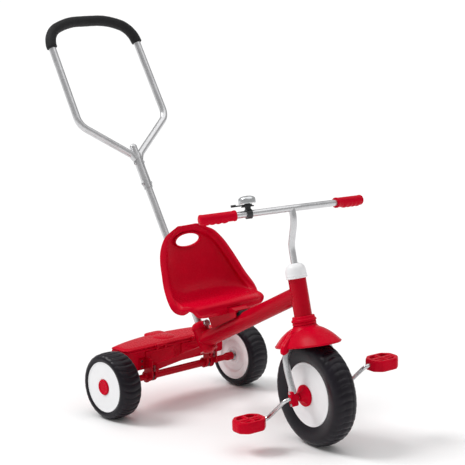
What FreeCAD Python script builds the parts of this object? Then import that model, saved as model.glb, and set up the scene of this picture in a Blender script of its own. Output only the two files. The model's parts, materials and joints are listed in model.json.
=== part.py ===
import FreeCAD, Part
import math
import os

# Children's tricycle with a steering push handle, a storage bin and an adjustable bucket seat.
# Units are millimetres.  X points forward, Y to the rider's left, Z up.
# Shapes are drawn from a datum on the ground under the rear axle; save() shifts them so that
# the origin is on the ground under the middle of the whole tricycle.

V = FreeCAD.Vector
ORIGIN_X = 127.6

# ---- driving dimensions -------------------------------------------------------------------
WHEELBASE = 499.0
REAR_R = 84.0
REAR_WIDTH = 63.3
REAR_TRACK_OUT = 247.5
REAR_RIM_R = 63.9
FRONT_R = 127.0
FRONT_WIDTH = 63.5
FRONT_RIM_R = 77.6
AXLE_R = 5.0
RUNNING = 0.05

STEER_TILT = 13.6
STEER_REST = -8.0
POLE_TILT = 30.55
POLE_FOOT = V(162.14, 0, 84)
MAIN_SLOPE = 27.41

MAIN_R = 21.0
MAIN_WALL = 1.6
HEAD_R = 21.5
HEAD_WALL = 1.6
HEAD_BOTTOM = 184.3
HEAD_TOP = 273.4
STEERER_R = 9.5
BAR_R = 8.0
POLE_R = 9.5
TUBE_WALL = 1.4

SOCKET_TOP = 142.0
BUTTON_S = 148.0
BUTTON_R = 7.0
BUTTON_SEAT_R = 8.9

LINK_ARM = 12.0
LINK_PIN_R = 1.8
LINK_CLEAR = 0.8

FORK_R = 8.0
LEG_Y = 66.0
LEG_X = -6.0
CROWN_S = 139.0
CRANK_DROP = 41.0
CRANK_BACK = 61.6
PEDAL_Y = 160.0

BAR_S = 438.0
BAR_FORWARD = 27.0
BAR_HALF = 232.7
BAR_SWEEP = 38.0
BAR_ROLL = -1.9
GRIP_R = 12.2
GRIP_LENGTH = 92.0

LOOP_APEX = 632.0
LOOP_CORNER = 729.5
LOOP_SHOULDER = 992.0
LOOP_TOP = 1022.5
LOOP_HALF = 142.8
LOOP_TOP_HALF = 139.7
LOOP_CROWN_HALF = 64.0
BOLT_R = 2.5
BOLT_S = (549.0, 608.0)
FOAM_R = 14.2
FOAM_START = 947.6

BIN_HALF = 166.0
BIN_FRONT = -6.0
BIN_SIDE_BACK = -60.0
BIN_BACK = -90.0
BIN_FLOOR = 101.0
BIN_RIM = 155.5
LID_PIVOT = V(4.0, 0, 160.0)
BIN_SCREW_Y = 119.0
BIN_SCREW_Z = (111.0, 126.0)
STAY_BOLT_Y = 101.0
STAY_BOLT_Z = (104.5, 113.0)
STAY_TOP = 118.0

SEAT_WALL = 4.0
SEAT_SCREWS = ((150.0, -17.0), (150.0, 17.0), (190.0, -17.0), (190.0, 17.0))
SEAT_SCREW_Z = 303.2

X_AXIS = V(1, 0, 0)
Y_AXIS = V(0, 1, 0)
Z_AXIS = V(0, 0, 1)


# ---- small helpers ------------------------------------------------------------------------
def save(name, shape):
    """Shift a finished shape to the tricycle's own origin and write it."""
    os.makedirs("parts", exist_ok=True)
    placed = shape.copy()
    placed.translate(V(-ORIGIN_X, 0, 0))
    placed.exportStep("parts/" + name + ".step")


def group(shapes):
    return Part.makeCompound(shapes)


def place(shape, frame):
    moved = shape.copy()
    moved.transformShape(frame.toMatrix(), True)
    return moved


def rod(start, end, radius):
    """Solid cylinder between two points."""
    axis = end - start
    return Part.makeCylinder(radius, axis.Length, start, axis)


def pipe(start, end, radius, bore):
    return rod(start, end, radius).cut(rod(start, end, bore))


def block(low, high):
    return Part.makeBox(high.x - low.x, high.y - low.y, high.z - low.z, low)


def turned(profile, axis, radial):
    """Solid of revolution about an axis through the origin: profile is (along, radius) points."""
    points = [axis * along + radial * radius for along, radius in profile]
    face = Part.Face(Part.makePolygon(points + [points[0]]))
    return face.revolve(V(0, 0, 0), axis, 360)


def rounded_path(points, radii):
    """Wire of straight runs joined by tangent arcs; radii has one value per inner point."""
    edges = []
    start = points[0]
    for i, radius in enumerate(radii):
        corner = points[i + 1]
        back = (points[i] - corner).normalize()
        ahead = (points[i + 2] - corner).normalize()
        half = back.getAngle(ahead) / 2
        reach = radius / math.tan(half)
        into = corner + back * reach
        out = corner + ahead * reach
        middle = (back + ahead).normalize()
        centre = corner + middle * (radius / math.sin(half))
        on_arc = centre - middle * radius
        if (into - start).Length > 1e-6:
            edges.append(Part.LineSegment(start, into).toShape())
        edges.append(Part.Arc(into, on_arc, out).toShape())
        start = out
    edges.append(Part.LineSegment(start, points[-1]).toShape())
    return Part.Wire(edges)


def bent_rod(points, radii, radius):
    """Round bar bent along straight runs and arcs."""
    path = rounded_path(points, radii)
    circle = Part.Wire([Part.makeCircle(radius, points[0], points[1] - points[0])])
    return path.makePipeShell([circle], True, True)


def bent_pipe(points, radii, radius, bore):
    return bent_rod(points, radii, radius).cut(bent_rod(points, radii, bore))


def mirrored(shape):
    """The same piece on the other side of the centre plane."""
    return shape.mirror(V(0, 0, 0), Y_AXIS)


# ---- the three sloping frames -------------------------------------------------------------
# Each one has its own x forward, y left and z along the tube or steering axis, except the
# main tube's, whose x runs along the tube.
def tilted(base, degrees, turn=0.0):
    lean = FreeCAD.Rotation(Y_AXIS, -degrees)
    return FreeCAD.Placement(base, lean.multiply(FreeCAD.Rotation(Z_AXIS, turn)))


def crossing():
    """Point where the main tube's axis meets the push handle's axis."""
    rise = math.tan(math.radians(MAIN_SLOPE))
    lean = math.tan(math.radians(POLE_TILT))
    z = (176.5 + rise * (POLE_FOOT.x + lean * POLE_FOOT.z - 96.9)) / (1 + rise * lean)
    return V(POLE_FOOT.x - lean * (z - POLE_FOOT.z), 0, z)


FRONT_AXLE = V(WHEELBASE, 0, FRONT_R)
REAR_AXLE = V(0, 0, REAR_R)
HEAD = tilted(FRONT_AXLE, STEER_TILT)
STEERED = tilted(FRONT_AXLE, STEER_TILT, STEER_REST)
POLE = tilted(POLE_FOOT, POLE_TILT)
JOINT = crossing()
MAIN = tilted(JOINT, MAIN_SLOPE)
JOINT_S = (JOINT - POLE_FOOT).Length


def meeting():
    """Distances to the point where the main tube's axis meets the steering axis."""
    gap = FRONT_AXLE - JOINT
    slope = math.radians(MAIN_SLOPE)
    tilt = math.radians(STEER_TILT)
    spread = math.cos(slope) * math.cos(tilt) + math.sin(slope) * math.sin(tilt)
    along = (gap.x * math.cos(tilt) + gap.z * math.sin(tilt)) / spread
    up = (along * math.sin(slope) - gap.z) / math.cos(tilt)
    return along, up


MAIN_LENGTH, HEAD_JOINT_S = meeting()


# ---- frame --------------------------------------------------------------------------------
def link_window(far):
    """Slot in the tube walls that lets the steering link through at either end."""
    low = V(0, 4, -7) if not far else V(MAIN_LENGTH - 40, 4, -7)
    high = V(40, 20, 7) if not far else V(MAIN_LENGTH, 20, 7)
    return place(block(low, high), MAIN)


def head_tube():
    tube = pipe(V(0, 0, HEAD_BOTTOM), V(0, 0, HEAD_TOP), HEAD_R, HEAD_R - HEAD_WALL)
    return place(tube, HEAD).cut(link_window(True))


def head_collar():
    """Stepped lower bearing collar, with a spigot inside the head tube."""
    steps = [(163.2, STEERER_R + RUNNING), (163.2, 27.5), (164.2, 28.5), (169.2, 28.5), (170, 27.6),
             (170.8, 30), (176.4, 30), (177.2, 28), (178, 27), (183.3, 27), (HEAD_BOTTOM, 26),
             (HEAD_BOTTOM, HEAD_R - HEAD_WALL), (200, HEAD_R - HEAD_WALL), (200, STEERER_R + RUNNING)]
    return place(turned(steps, Z_AXIS, X_AXIS), HEAD)


def head_cap():
    """White domed cap, which is also the upper bearing."""
    outline = [(258, STEERER_R + RUNNING), (258, HEAD_R - HEAD_WALL), (HEAD_TOP, HEAD_R - HEAD_WALL),
               (HEAD_TOP, 24.5), (275, 26), (281, 26), (283.5, 24.4), (286, 24), (294, 22.6),
               (301, 19), (306, 14.5), (309.5, 11), (309.5, BAR_R + 0.4), (298, BAR_R + 0.4),
               (298, 13), (291.5, 18), (276, 18), (276, STEERER_R + RUNNING)]
    return place(turned(outline, Z_AXIS, X_AXIS), HEAD)


def socket_outer():
    dome = Part.makeSphere(MAIN_R)
    squash = FreeCAD.Matrix()
    squash.scale(V(1, 1, 0.86))
    dome = dome.transformGeometry(squash)
    dome.translate(V(0, 0, 95))
    return rod(V(0, 0, 95), V(0, 0, SOCKET_TOP), MAIN_R).fuse(dome)


def pole_socket():
    """Upright stub at the tail of the main tube, with a closed round foot."""
    bore = rod(V(0, 0, 94), V(0, 0, SOCKET_TOP + 0.1), MAIN_R - MAIN_WALL)
    notch = rod(V(12, 0, BUTTON_S), V(40, 0, BUTTON_S), BUTTON_SEAT_R + 0.2)
    return place(socket_outer().cut(bore).cut(notch), POLE).cut(link_window(False))


def main_tube():
    run = rod(V(0, 0, 0), V(MAIN_LENGTH, 0, 0), MAIN_R)
    bore = rod(V(-1, 0, 0), V(MAIN_LENGTH + 1, 0, 0), MAIN_R - MAIN_WALL)
    tube = place(run.cut(bore), MAIN)
    socket_core = place(rod(V(0, 0, 60), V(0, 0, 170), MAIN_R), POLE)
    head_core = place(rod(V(0, 0, 120), V(0, 0, 330), HEAD_R), HEAD)
    beyond = place(block(V(-60, -40, -60), V(0, 40, 60)), MAIN)
    tube = tube.cut(socket_core).cut(head_core).cut(beyond)
    return max(tube.Solids, key=lambda piece: piece.Volume)


def socket_collar():
    """Bearing collar that closes the socket round the push handle."""
    spigot = SOCKET_TOP - 13
    outline = [(spigot, POLE_R + RUNNING), (spigot, MAIN_R - MAIN_WALL), (SOCKET_TOP, MAIN_R - MAIN_WALL),
               (SOCKET_TOP, 21.6), (145, 22.2), (150, 22.2), (154, 20.8), (157.5, 17.6), (159.6, 13.6),
               (159.6, POLE_R + RUNNING)]
    body = turned(outline, Z_AXIS, X_AXIS)
    seat = rod(V(12, 0, BUTTON_S), V(24, 0, BUTTON_S), BUTTON_SEAT_R)
    button_hole = rod(V(12.5, 0, BUTTON_S), V(40, 0, BUTTON_S), BUTTON_R + RUNNING)
    pole_hole = rod(V(0, 0, 120), V(0, 0, 170), POLE_R + RUNNING)
    return place(body.fuse(seat).cut(pole_hole).cut(button_hole), POLE)


def lock_button():
    """Sprung button on the front of the collar."""
    stem = rod(V(17.5, 0, BUTTON_S), V(28.2, 0, BUTTON_S), BUTTON_R)
    head = rod(V(28.2, 0, BUTTON_S), V(32, 0, BUTTON_S), BUTTON_R + 1.4)
    return place(stem.fuse(head).removeSplitter(), POLE)


def axle_tube():
    """Cross tube that holds the rear axle, with a flared boss at each end."""
    half = [(0, 9.5), (112, 9.5), (115, 8), (158, 8), (168, 10.6), (184.4, 10.6), (185, 10), (185, 5.3)]
    other = [(-along, radius) for along, radius in reversed(half[1:])]
    tube = turned(other + half, Y_AXIS, X_AXIS)
    tube.translate(REAR_AXLE)
    return tube


def rear_axle():
    half = REAR_TRACK_OUT - 5.2
    return rod(REAR_AXLE - Y_AXIS * half, REAR_AXLE + Y_AXIS * half, AXLE_R)


def axle_nuts():
    """Push-on retainers outside the rear wheels."""
    inner = REAR_TRACK_OUT - 9.5
    nut = pipe(REAR_AXLE + Y_AXIS * inner, REAR_AXLE + Y_AXIS * (inner + 3.2), 10.5, AXLE_R)
    return group([nut, mirrored(nut)])


def axle_bracket():
    """Left side plate, welded to the cross tube, with a flange against the bin's front wall."""
    plate = block(V(BIN_FRONT + 0.3, 107, REAR_R), V(26, 110.5, 134))
    foot = rod(V(0, 107, REAR_R), V(0, 110.5, REAR_R), 15)
    flange = block(V(BIN_FRONT, 110.5, 104), V(BIN_FRONT + 2.5, 127, 133))
    plate = plate.multiFuse([foot, flange]).removeSplitter()
    corner = [e for e in plate.Edges if abs(e.Length - 3.5) < 0.01 and e.BoundBox.ZMin > 130
              and e.BoundBox.XMin > 20]
    plate = plate.makeFillet(6, corner)
    for z in BIN_SCREW_Z:
        plate = plate.cut(rod(V(BIN_FRONT - 1, BIN_SCREW_Y, z), V(2, BIN_SCREW_Y, z), 2.05))
    return plate.cut(rod(V(0, 90, REAR_R), V(0, 120, REAR_R), 9.5))


def axle_clamp():
    """Left saddle: two ears round the cross tube, joined by a bridge behind the stay's foot."""
    ears = []
    for start, end in ((84, 91), (98, 106.8)):
        ears.append(rod(V(0, start, REAR_R), V(0, end, REAR_R), 13.5))
        ears.append(block(V(-7, start, REAR_R), V(17, end, REAR_R + 12)))
        ears.append(block(V(1, start, REAR_R + 12), V(17, end, STAY_TOP)))
    bridge = block(V(8, 84, REAR_R + 15), V(17, 106.8, STAY_TOP))
    saddle = ears[0].multiFuse(ears[1:] + [bridge]).removeSplitter()
    for z in STAY_BOLT_Z:
        saddle = saddle.cut(rod(V(9, STAY_BOLT_Y, z), V(20, STAY_BOLT_Y, z), 2.85))
    return saddle.cut(rod(V(0, 80, REAR_R), V(0, 110, REAR_R), 9.5))


def axle_bushes():
    """Black bush between the ears of each saddle."""
    bush = pipe(V(0, 91, REAR_R), V(0, 98, REAR_R), 12.6, 9.5)
    return group([bush, mirrored(bush)])


def stay_bar(start, end, height, thickness):
    """Flat bar on edge between two points."""
    run = end - start
    side = run.cross(Z_AXIS).normalize()
    up = side.cross(run).normalize()
    corners = []
    for across, lift in ((-1, -1), (1, -1), (1, 1), (-1, 1)):
        corners.append(start + side * (across * thickness / 2) + up * (lift * height / 2))
    face = Part.Face(Part.makePolygon(corners + [corners[0]]))
    return face.extrude(run)


def rear_stays():
    """Ring welded round the socket's foot, with a flat bar back to each saddle."""
    ring = place(rod(V(0, 0, 84), V(0, 0, 98), MAIN_R + 1.8), POLE)
    bars = []
    for side in (-1, 1):
        bars.append(stay_bar(V(112, side * 20, 161), V(19.5, side * 95, 110), 15, 5))
        bars.append(block(V(17, side * 95 - 11, 99.5), V(22.5, side * 95 + 11, 119)))
    stays = ring.multiFuse(bars).removeSplitter()
    stays = stays.cut(place(socket_outer(), POLE))
    stays = stays.cut(place(rod(V(0, 0, 0), V(80, 0, 0), MAIN_R), MAIN))
    for side in (-1, 1):
        for z in STAY_BOLT_Z:
            stays = stays.cut(rod(V(10, side * STAY_BOLT_Y, z), V(30, side * STAY_BOLT_Y, z), 2.85))
    return max(stays.Solids, key=lambda piece: piece.Volume)


def stay_bolts():
    """Hexagon-head bolts through each stay's foot into its saddle."""
    fasteners = []
    for side in (-1, 1):
        for z in STAY_BOLT_Z:
            y = side * STAY_BOLT_Y
            shank = rod(V(9.5, y, z), V(22.5, y, z), 2.8)
            head = hexagon(V(22.5, y, z), X_AXIS, 8, 4)
            fasteners.append(head.fuse(shank).removeSplitter())
    return group(fasteners)


def hexagon(base, axis, across, height):
    """Hexagonal prism: nut or bolt head."""
    radius = across / math.sqrt(3)
    side = Z_AXIS if abs(axis.z) < 0.9 else X_AXIS
    first = axis.cross(side).normalize()
    second = axis.cross(first).normalize()
    corners = []
    for i in range(6):
        angle = math.radians(60 * i)
        corners.append(base + first * (radius * math.cos(angle)) + second * (radius * math.sin(angle)))
    face = Part.Face(Part.makePolygon(corners + [corners[0]]))
    return face.extrude(axis * height)


# ---- bin ----------------------------------------------------------------------------------
def bin_outline(z, grow, half=BIN_HALF):
    """Plan of the bin: straight front and sides, rounded back."""
    front = BIN_FRONT + grow
    side = half + grow
    side_back = BIN_SIDE_BACK
    back = BIN_BACK - grow
    corner = 14.0
    nook = corner * (1 - math.sqrt(0.5))
    edges = [
        Part.LineSegment(V(front, corner - side, z), V(front, side - corner, z)),
        Part.Arc(V(front, side - corner, z), V(front - nook, side - nook, z), V(front - corner, side, z)),
        Part.LineSegment(V(front - corner, side, z), V(side_back, side, z)),
        Part.Arc(V(side_back, side, z), V(back, 0, z), V(side_back, -side, z)),
        Part.LineSegment(V(side_back, -side, z), V(front - corner, -side, z)),
        Part.Arc(V(front - corner, -side, z), V(front - nook, nook - side, z), V(front, corner - side, z)),
    ]
    return Part.Face(Part.Wire([edge.toShape() for edge in edges]))


def slab(z_low, z_high, grow):
    return bin_outline(z_low, grow).extrude(Z_AXIS * (z_high - z_low))


def hinge_knuckle(y_low, y_high, radius):
    return rod(LID_PIVOT + Y_AXIS * y_low, LID_PIVOT + Y_AXIS * y_high, radius)


def bin_tub():
    """Open tub with two raised front panels, a recess between them and a rolled rim."""
    body = slab(BIN_FLOOR, BIN_RIM, 0)
    rim = slab(BIN_RIM - 6, BIN_RIM, 4.5)
    tub = body.fuse(rim)
    for low, high in ((-106, -13), (13, 106)):
        tub = tub.fuse(block(V(BIN_FRONT - 1, low, BIN_FLOOR + 2), V(BIN_FRONT + 4, high, BIN_RIM - 6)))
    tub = tub.cut(slab(BIN_FLOOR + 2.5, BIN_RIM + 1, -2.5))
    groove = block(V(BIN_FRONT - 12, -9, BIN_FLOOR - 1), V(BIN_FRONT + 1, 9, BIN_RIM - 9))
    lining = block(V(BIN_FRONT - 14.5, -11.5, BIN_FLOOR), V(BIN_FRONT, 11.5, BIN_RIM - 6.5))
    tub = tub.fuse(lining).cut(groove)
    for side in (-1, 1):
        for start in (44, 70.3):
            low = min(side * start, side * (start + 5.7))
            ear = hinge_knuckle(low, low + 5.7, 3.6)
            web = block(V(BIN_FRONT + 2, low, BIN_RIM - 5), V(LID_PIVOT.x + 3, low + 5.7, LID_PIVOT.z))
            tub = tub.fuse(ear).fuse(web)
    tub = tub.removeSplitter().cut(hinge_knuckle(-80, 80, 1.5))
    for side in (-1, 1):
        for z in BIN_SCREW_Z:
            y = side * BIN_SCREW_Y
            tub = tub.cut(rod(V(BIN_FRONT - 6, y, z), V(BIN_FRONT + 3, y, z), 2.05))
    return tub


def lid_hinge_pins():
    pins = []
    for side in (-1, 1):
        low = min(side * 44, side * 76)
        pins.append(hinge_knuckle(low, low + 32, 1.5))
    return group(pins)


def bin_lid():
    """Shallow lid: raised panel, rolled edge and a finger tab at the back."""
    lid = slab(BIN_RIM + 0.4, BIN_RIM + 4, 5.5).fuse(slab(BIN_RIM + 4, BIN_RIM + 6.5, -3))
    tab = block(V(BIN_BACK - 22, -30, BIN_RIM + 0.4), V(BIN_BACK + 10, 30, BIN_RIM + 6.5))
    corners = [e for e in tab.Edges if abs(e.Length - 6.1) < 0.01 and e.BoundBox.XMax < BIN_BACK]
    tab = tab.makeFillet(12, corners)
    lid = lid.fuse(tab).cut(slab(BIN_RIM, BIN_RIM + 2.6, -5))
    for side in (-1, 1):
        low = min(side * 43.5, side * 76.5)
        lid = lid.cut(block(V(BIN_FRONT + 1.4, low, BIN_RIM - 2), V(LID_PIVOT.x + 6, low + 33, BIN_RIM + 9)))
        low = min(side * 50, side * 70)
        web = block(V(BIN_FRONT + 1.0, low, BIN_RIM + 3), V(LID_PIVOT.x, low + 20, BIN_RIM + 6.5))
        lid = lid.fuse(web).fuse(hinge_knuckle(low, low + 20, 3.6))
    return lid.removeSplitter().cut(hinge_knuckle(-80, 80, 1.5 + RUNNING))


def bin_screws():
    """Round-head screws through each side plate's flange into the bin's front wall."""
    screws = []
    front = BIN_FRONT + 2.5
    for side in (-1, 1):
        for z in BIN_SCREW_Z:
            y = side * BIN_SCREW_Y
            head = rod(V(front, y, z), V(front + 2.4, y, z), 3.8)
            shank = rod(V(BIN_FRONT - 5, y, z), V(front, y, z), 2.0)
            screws.append(head.fuse(shank).removeSplitter())
    return group(screws)


# ---- steered front assembly ---------------------------------------------------------------
def fork_points():
    side = [V(0, LEG_Y - 2, 10), V(LEG_X, LEG_Y, 62), V(LEG_X, LEG_Y, 100), V(LEG_X, 27, CROWN_S)]
    return side + [V(p.x, -p.y, p.z) for p in reversed(side)]


FORK_BENDS = [120, 26, 26, 26, 26, 120]


def fork_shape():
    legs = bent_rod(fork_points(), FORK_BENDS, FORK_R)
    tabs = []
    for side in (-1, 1):
        low = min(side * (LEG_Y - 5.5), side * (LEG_Y + 1.5))
        tabs.append(block(V(-7, low, -9), V(7, low + 7, 14)))
    return legs.multiFuse(tabs)


def fork():
    """One tube bent over the wheel, with flattened ends for the crank axle."""
    return place(fork_shape().cut(rod(V(0, -90, 0), V(0, 90, 0), AXLE_R + 0.4)), STEERED)


def steerer_tube():
    """Fork stem with its crown washer."""
    tube = rod(V(0, 0, CROWN_S), V(0, 0, 292), STEERER_R)
    washer = rod(V(0, 0, CROWN_S + 5), V(0, 0, 155), 15)
    tube = tube.fuse(washer).cut(rod(V(0, 0, CROWN_S - 1), V(0, 0, 293), BAR_R))
    tube = tube.cut(fork_shape())
    return place(max(tube.Solids, key=lambda piece: piece.Volume), STEERED)


FENDER_HALF = V(148, 91, 161)
FENDER_EDGE = 115.0
FENDER_WALL = 2.6


def ellipsoid(half):
    ball = Part.makeSphere(1.0)
    stretch = FreeCAD.Matrix()
    stretch.scale(half)
    return ball.transformGeometry(stretch)


def fender():
    """Domed mudguard, clamped under the head collar, with a sleeve down each fork leg."""
    inner = FENDER_HALF - V(FENDER_WALL, FENDER_WALL, FENDER_WALL)
    cover = ellipsoid(FENDER_HALF)
    above = block(V(-200, -200, FENDER_EDGE), V(200, 200, 200))
    sleeves = []
    for side in (-1, 1):
        run = [V(LEG_X, side * LEG_Y, 101), V(LEG_X, side * LEG_Y, 114), V(LEG_X, side * 40, 138)]
        sleeves.append(bent_rod(run, [14], FORK_R + 2.4))
    shell = cover.common(above).multiFuse(sleeves)
    hollow = ellipsoid(inner).common(block(V(-200, -200, FENDER_EDGE - 1), V(200, 200, 200)))
    shell = shell.cut(hollow).cut(fork_shape()).cut(rod(V(0, 0, 100), V(0, 0, 200), STEERER_R))
    shell = shell.cut(block(V(-60, -60, 60), V(60, 60, 101.5)))
    shell = shell.cut(rod(V(0, 0, 150), V(0, 0, 155), 15.0))
    return place(max(shell.Solids, key=lambda piece: piece.Volume), STEERED)


def stem_points():
    return [V(0, 0, 205), V(0, 0, 352), V(BAR_FORWARD, 0, 408), V(BAR_FORWARD, 0, BAR_S)]


def bar_points():
    end_x = BAR_FORWARD - BAR_SWEEP
    return [V(end_x, BAR_HALF, BAR_S), V(BAR_FORWARD, 18, BAR_S), V(BAR_FORWARD, -18, BAR_S),
            V(end_x, -BAR_HALF, BAR_S)]


def rolled(shape):
    """A piece of the handlebar, which sits slightly out of level on its stem."""
    turned_piece = shape.copy()
    turned_piece.rotate(V(BAR_FORWARD, 0, BAR_S), X_AXIS, BAR_ROLL)
    return turned_piece


def handlebar_solid():
    return rolled(bent_rod(bar_points(), [60, 60], BAR_R))


def handlebar():
    bore = rolled(bent_rod(bar_points(), [60, 60], BAR_R - TUBE_WALL))
    return place(handlebar_solid().cut(bore), STEERED)


def handlebar_stem():
    tube = bent_pipe(stem_points(), [60, 60], BAR_R, BAR_R - TUBE_WALL)
    return place(max(tube.cut(handlebar_solid()).Solids, key=lambda piece: piece.Volume), STEERED)


def bar_direction():
    return V(-BAR_SWEEP, BAR_HALF - 18, 0).normalize()


def grip():
    """Left grip: closed end, end flange and finger ridges underneath."""
    along = bar_direction()
    tip = V(BAR_FORWARD - BAR_SWEEP, BAR_HALF, BAR_S)
    inner = tip - along * (GRIP_LENGTH - 3)
    body = rod(inner, tip + along * 3, GRIP_R)
    flange = rod(inner, inner + along * 4, GRIP_R + 1.4)
    end = rod(tip - along * 3, tip + along * 3, GRIP_R + 0.8)
    ridges = []
    for i in range(4):
        place_on = inner + along * (24 + i * 16) - Z_AXIS * 3.2
        ridges.append(rod(place_on, place_on + along * 8, GRIP_R - 0.4))
    solid = body.multiFuse([flange, end] + ridges).removeSplitter()
    return solid.cut(rod(inner - along, tip, BAR_R))


def grip_on_bar(right_hand):
    return rolled(mirrored(grip()) if right_hand else grip())


BELL_Y = -112.0


def bell_base():
    """Bar position under the bell, and the bar's direction there."""
    along = bar_direction()
    right = V(along.x, -along.y, 0)
    start = V(BAR_FORWARD, -18, BAR_S)
    return start + right * ((abs(BELL_Y) - 18) / abs(right.y)), right


def bell_clamp():
    """Black band round the handlebar with the post and plate that carry the bell."""
    centre, right = bell_base()
    band = rod(centre - right * 6.5, centre + right * 6.5, 11.6)
    post = rod(centre, centre + Z_AXIS * 24, 7)
    plate = rod(centre + Z_AXIS * 16, centre + Z_AXIS * 19, 15)
    clamp = band.multiFuse([post, plate]).removeSplitter()
    return place(rolled(clamp.cut(rod(centre - right * 9, centre + right * 9, BAR_R))), STEERED)


def bell_dome():
    """Chrome dome."""
    centre, _ = bell_base()
    outer = [(0, 20.5), (4, 20.3), (9, 18.2), (13.5, 14), (16.5, 8.5), (17.8, 3), (18, 0)]
    inner = [(16.6, 0), (16.4, 2.8), (15, 8), (12.3, 13), (8.2, 16.8), (3.6, 18.8), (0, 19)]
    dome = turned(outer + inner, Z_AXIS, X_AXIS)
    dome.translate(centre + Z_AXIS * 24.0)
    return place(rolled(dome), STEERED)


def bell_lever():
    """Thumb lever that swings round the bell's post."""
    centre, right = bell_base()
    hub = pipe(centre + Z_AXIS * 19.3, centre + Z_AXIS * 22.6, 11, 7.05)
    back = V(-right.y, right.x, 0)
    tip = centre + right * 33 - back * 6 + Z_AXIS * 19.3
    arm = stay_bar(centre + right * 9 + Z_AXIS * 20.9, V(tip.x, tip.y, centre.z + 20.9), 3.2, 7)
    pad = rod(tip, tip + Z_AXIS * 5.5, 6.2)
    arm = arm.cut(rod(centre, centre + Z_AXIS * 40, 7.05))
    return place(rolled(hub.multiFuse([arm, pad]).removeSplitter()), STEERED)


def axle_guard():
    """Left plastic bearing block round the flattened fork end."""
    body = block(V(-9.5, LEG_Y - 9, -19), V(9.5, LEG_Y + 9.5, 18))
    body = body.makeFillet(4, [e for e in body.Edges if abs(e.Length - 18.5) < 0.01])
    boss = rod(V(0, LEG_Y + 9.5, 0), V(0, LEG_Y + 11.6, 0), 9)
    tip = rod(V(0, LEG_Y - 12, 0), V(0, LEG_Y - 9, 0), 9)
    body = body.fuse(boss).fuse(tip).cut(fork_shape()).cut(rod(V(0, 40, 0), V(0, 90, 0), AXLE_R + RUNNING))
    return max(body.Solids, key=lambda piece: piece.Volume)


def guard_screws():
    screws = []
    for side in (-1, 1):
        y = side * (LEG_Y + 9.5)
        screws.append(rod(V(0, y, -14), V(0, y + side * 2, -14), 3.2))
        screws.append(rod(V(0, y, 13.4), V(0, y + side * 2, 13.4), 3.2))
    return place(group(screws), STEERED)


def steer_arm():
    """Ring on the fork stem with the pin that the steering link turns; square to the frame at rest."""
    low = HEAD_JOINT_S - 11.5
    high = low + 5
    ring = pipe(V(0, 0, low), V(0, 0, high), 13.5, STEERER_R)
    arm = block(V(-4, 10, low), V(4, LINK_ARM + 2, high)).cut(rod(V(0, 0, low), V(0, 0, high), STEERER_R))
    pin = rod(V(0, LINK_ARM, low), V(0, LINK_ARM, HEAD_JOINT_S + 7), LINK_PIN_R)
    return place(ring.multiFuse([arm, pin]).removeSplitter(), HEAD)


def link_rod():
    """Push rod inside the main tube: an open yoke at each end straddles a pin."""
    wing = LINK_PIN_R + LINK_CLEAR
    reach = wing + 2.0
    top = LINK_ARM + wing + 1.4
    shapes = [rod(V(wing + 1.6, LINK_ARM, 0), V(MAIN_LENGTH - wing - 1.6, LINK_ARM, 0), 2.0)]
    for centre in (0, MAIN_LENGTH):
        yoke = block(V(centre - reach, 10.0, -1.6), V(centre + reach, top, 1.6))
        shapes.append(yoke.cut(block(V(centre - wing, 9.0, -2), V(centre + wing, LINK_ARM + wing, 2))))
    link = shapes[0].multiFuse(shapes[1:]).removeSplitter()
    corner = Part.Face(Part.makePolygon([V(-reach - 1, top - 3.6, -2), V(-reach - 1, top + 1, -2),
                                         V(3.6 - reach, top + 1, -2), V(-reach - 1, top - 3.6, -2)]))
    return place(link.cut(corner.extrude(Z_AXIS * 4)), MAIN)


# ---- front wheel and cranks ---------------------------------------------------------------
def wheel_tyre(radius, width, rim_radius, recess, shoulder, lip):
    """Moulded tyre: crowned tread, round shoulders and cupped sidewalls."""
    half = width / 2
    seat = rim_radius - lip
    side_r = radius - shoulder
    tread = half - shoulder
    bend = shoulder * math.sqrt(0.5)

    def at(y, r):
        return V(r, y, 0)

    middle_r = (side_r + rim_radius) / 2
    edges = [
        Part.Arc(at(-tread, radius - 1.2), at(0, radius), at(tread, radius - 1.2)),
        Part.Arc(at(tread, radius - 1.2), at(tread + bend, side_r + bend - 1), at(half, side_r)),
        Part.Arc(at(half, side_r), at(half - recess * 0.3, middle_r), at(half - recess, rim_radius)),
        Part.LineSegment(at(half - recess, rim_radius), at(half - recess - 3.4, rim_radius)),
        Part.LineSegment(at(half - recess - 3.4, rim_radius), at(half - recess - 3.4, seat)),
        Part.LineSegment(at(half - recess - 3.4, seat), at(recess + 3.4 - half, seat)),
        Part.LineSegment(at(recess + 3.4 - half, seat), at(recess + 3.4 - half, rim_radius)),
        Part.LineSegment(at(recess + 3.4 - half, rim_radius), at(recess - half, rim_radius)),
        Part.Arc(at(recess - half, rim_radius), at(recess * 0.3 - half, middle_r), at(-half, side_r)),
        Part.Arc(at(-half, side_r), at(-tread - bend, side_r + bend - 1), at(-tread, radius - 1.2)),
    ]
    face = Part.Face(Part.Wire([edge.toShape() for edge in edges]))
    return face.revolve(V(0, 0, 0), Y_AXIS, 360)


FRONT_RECESS = 7.5


def front_rim():
    """Left half of the white wheel: dished face, rim barrel and hub tube."""
    face_y = FRONT_WIDTH / 2 - FRONT_RECESS
    seat = FRONT_RIM_R - 4
    outline = [(0, 9.0), (0, 12), (face_y + 4.2, 13), (face_y + 1.5, 40), (face_y - 3.4, seat - 3),
               (0, seat - 3), (0, seat), (face_y - 3.4, seat), (face_y - 3.4, FRONT_RIM_R),
               (face_y, FRONT_RIM_R),
               (face_y + 0.4, FRONT_RIM_R - 4), (face_y + 4.6, 40), (face_y + 8, 27), (face_y + 8, 9.0)]
    return turned(outline, Y_AXIS, X_AXIS)


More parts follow.
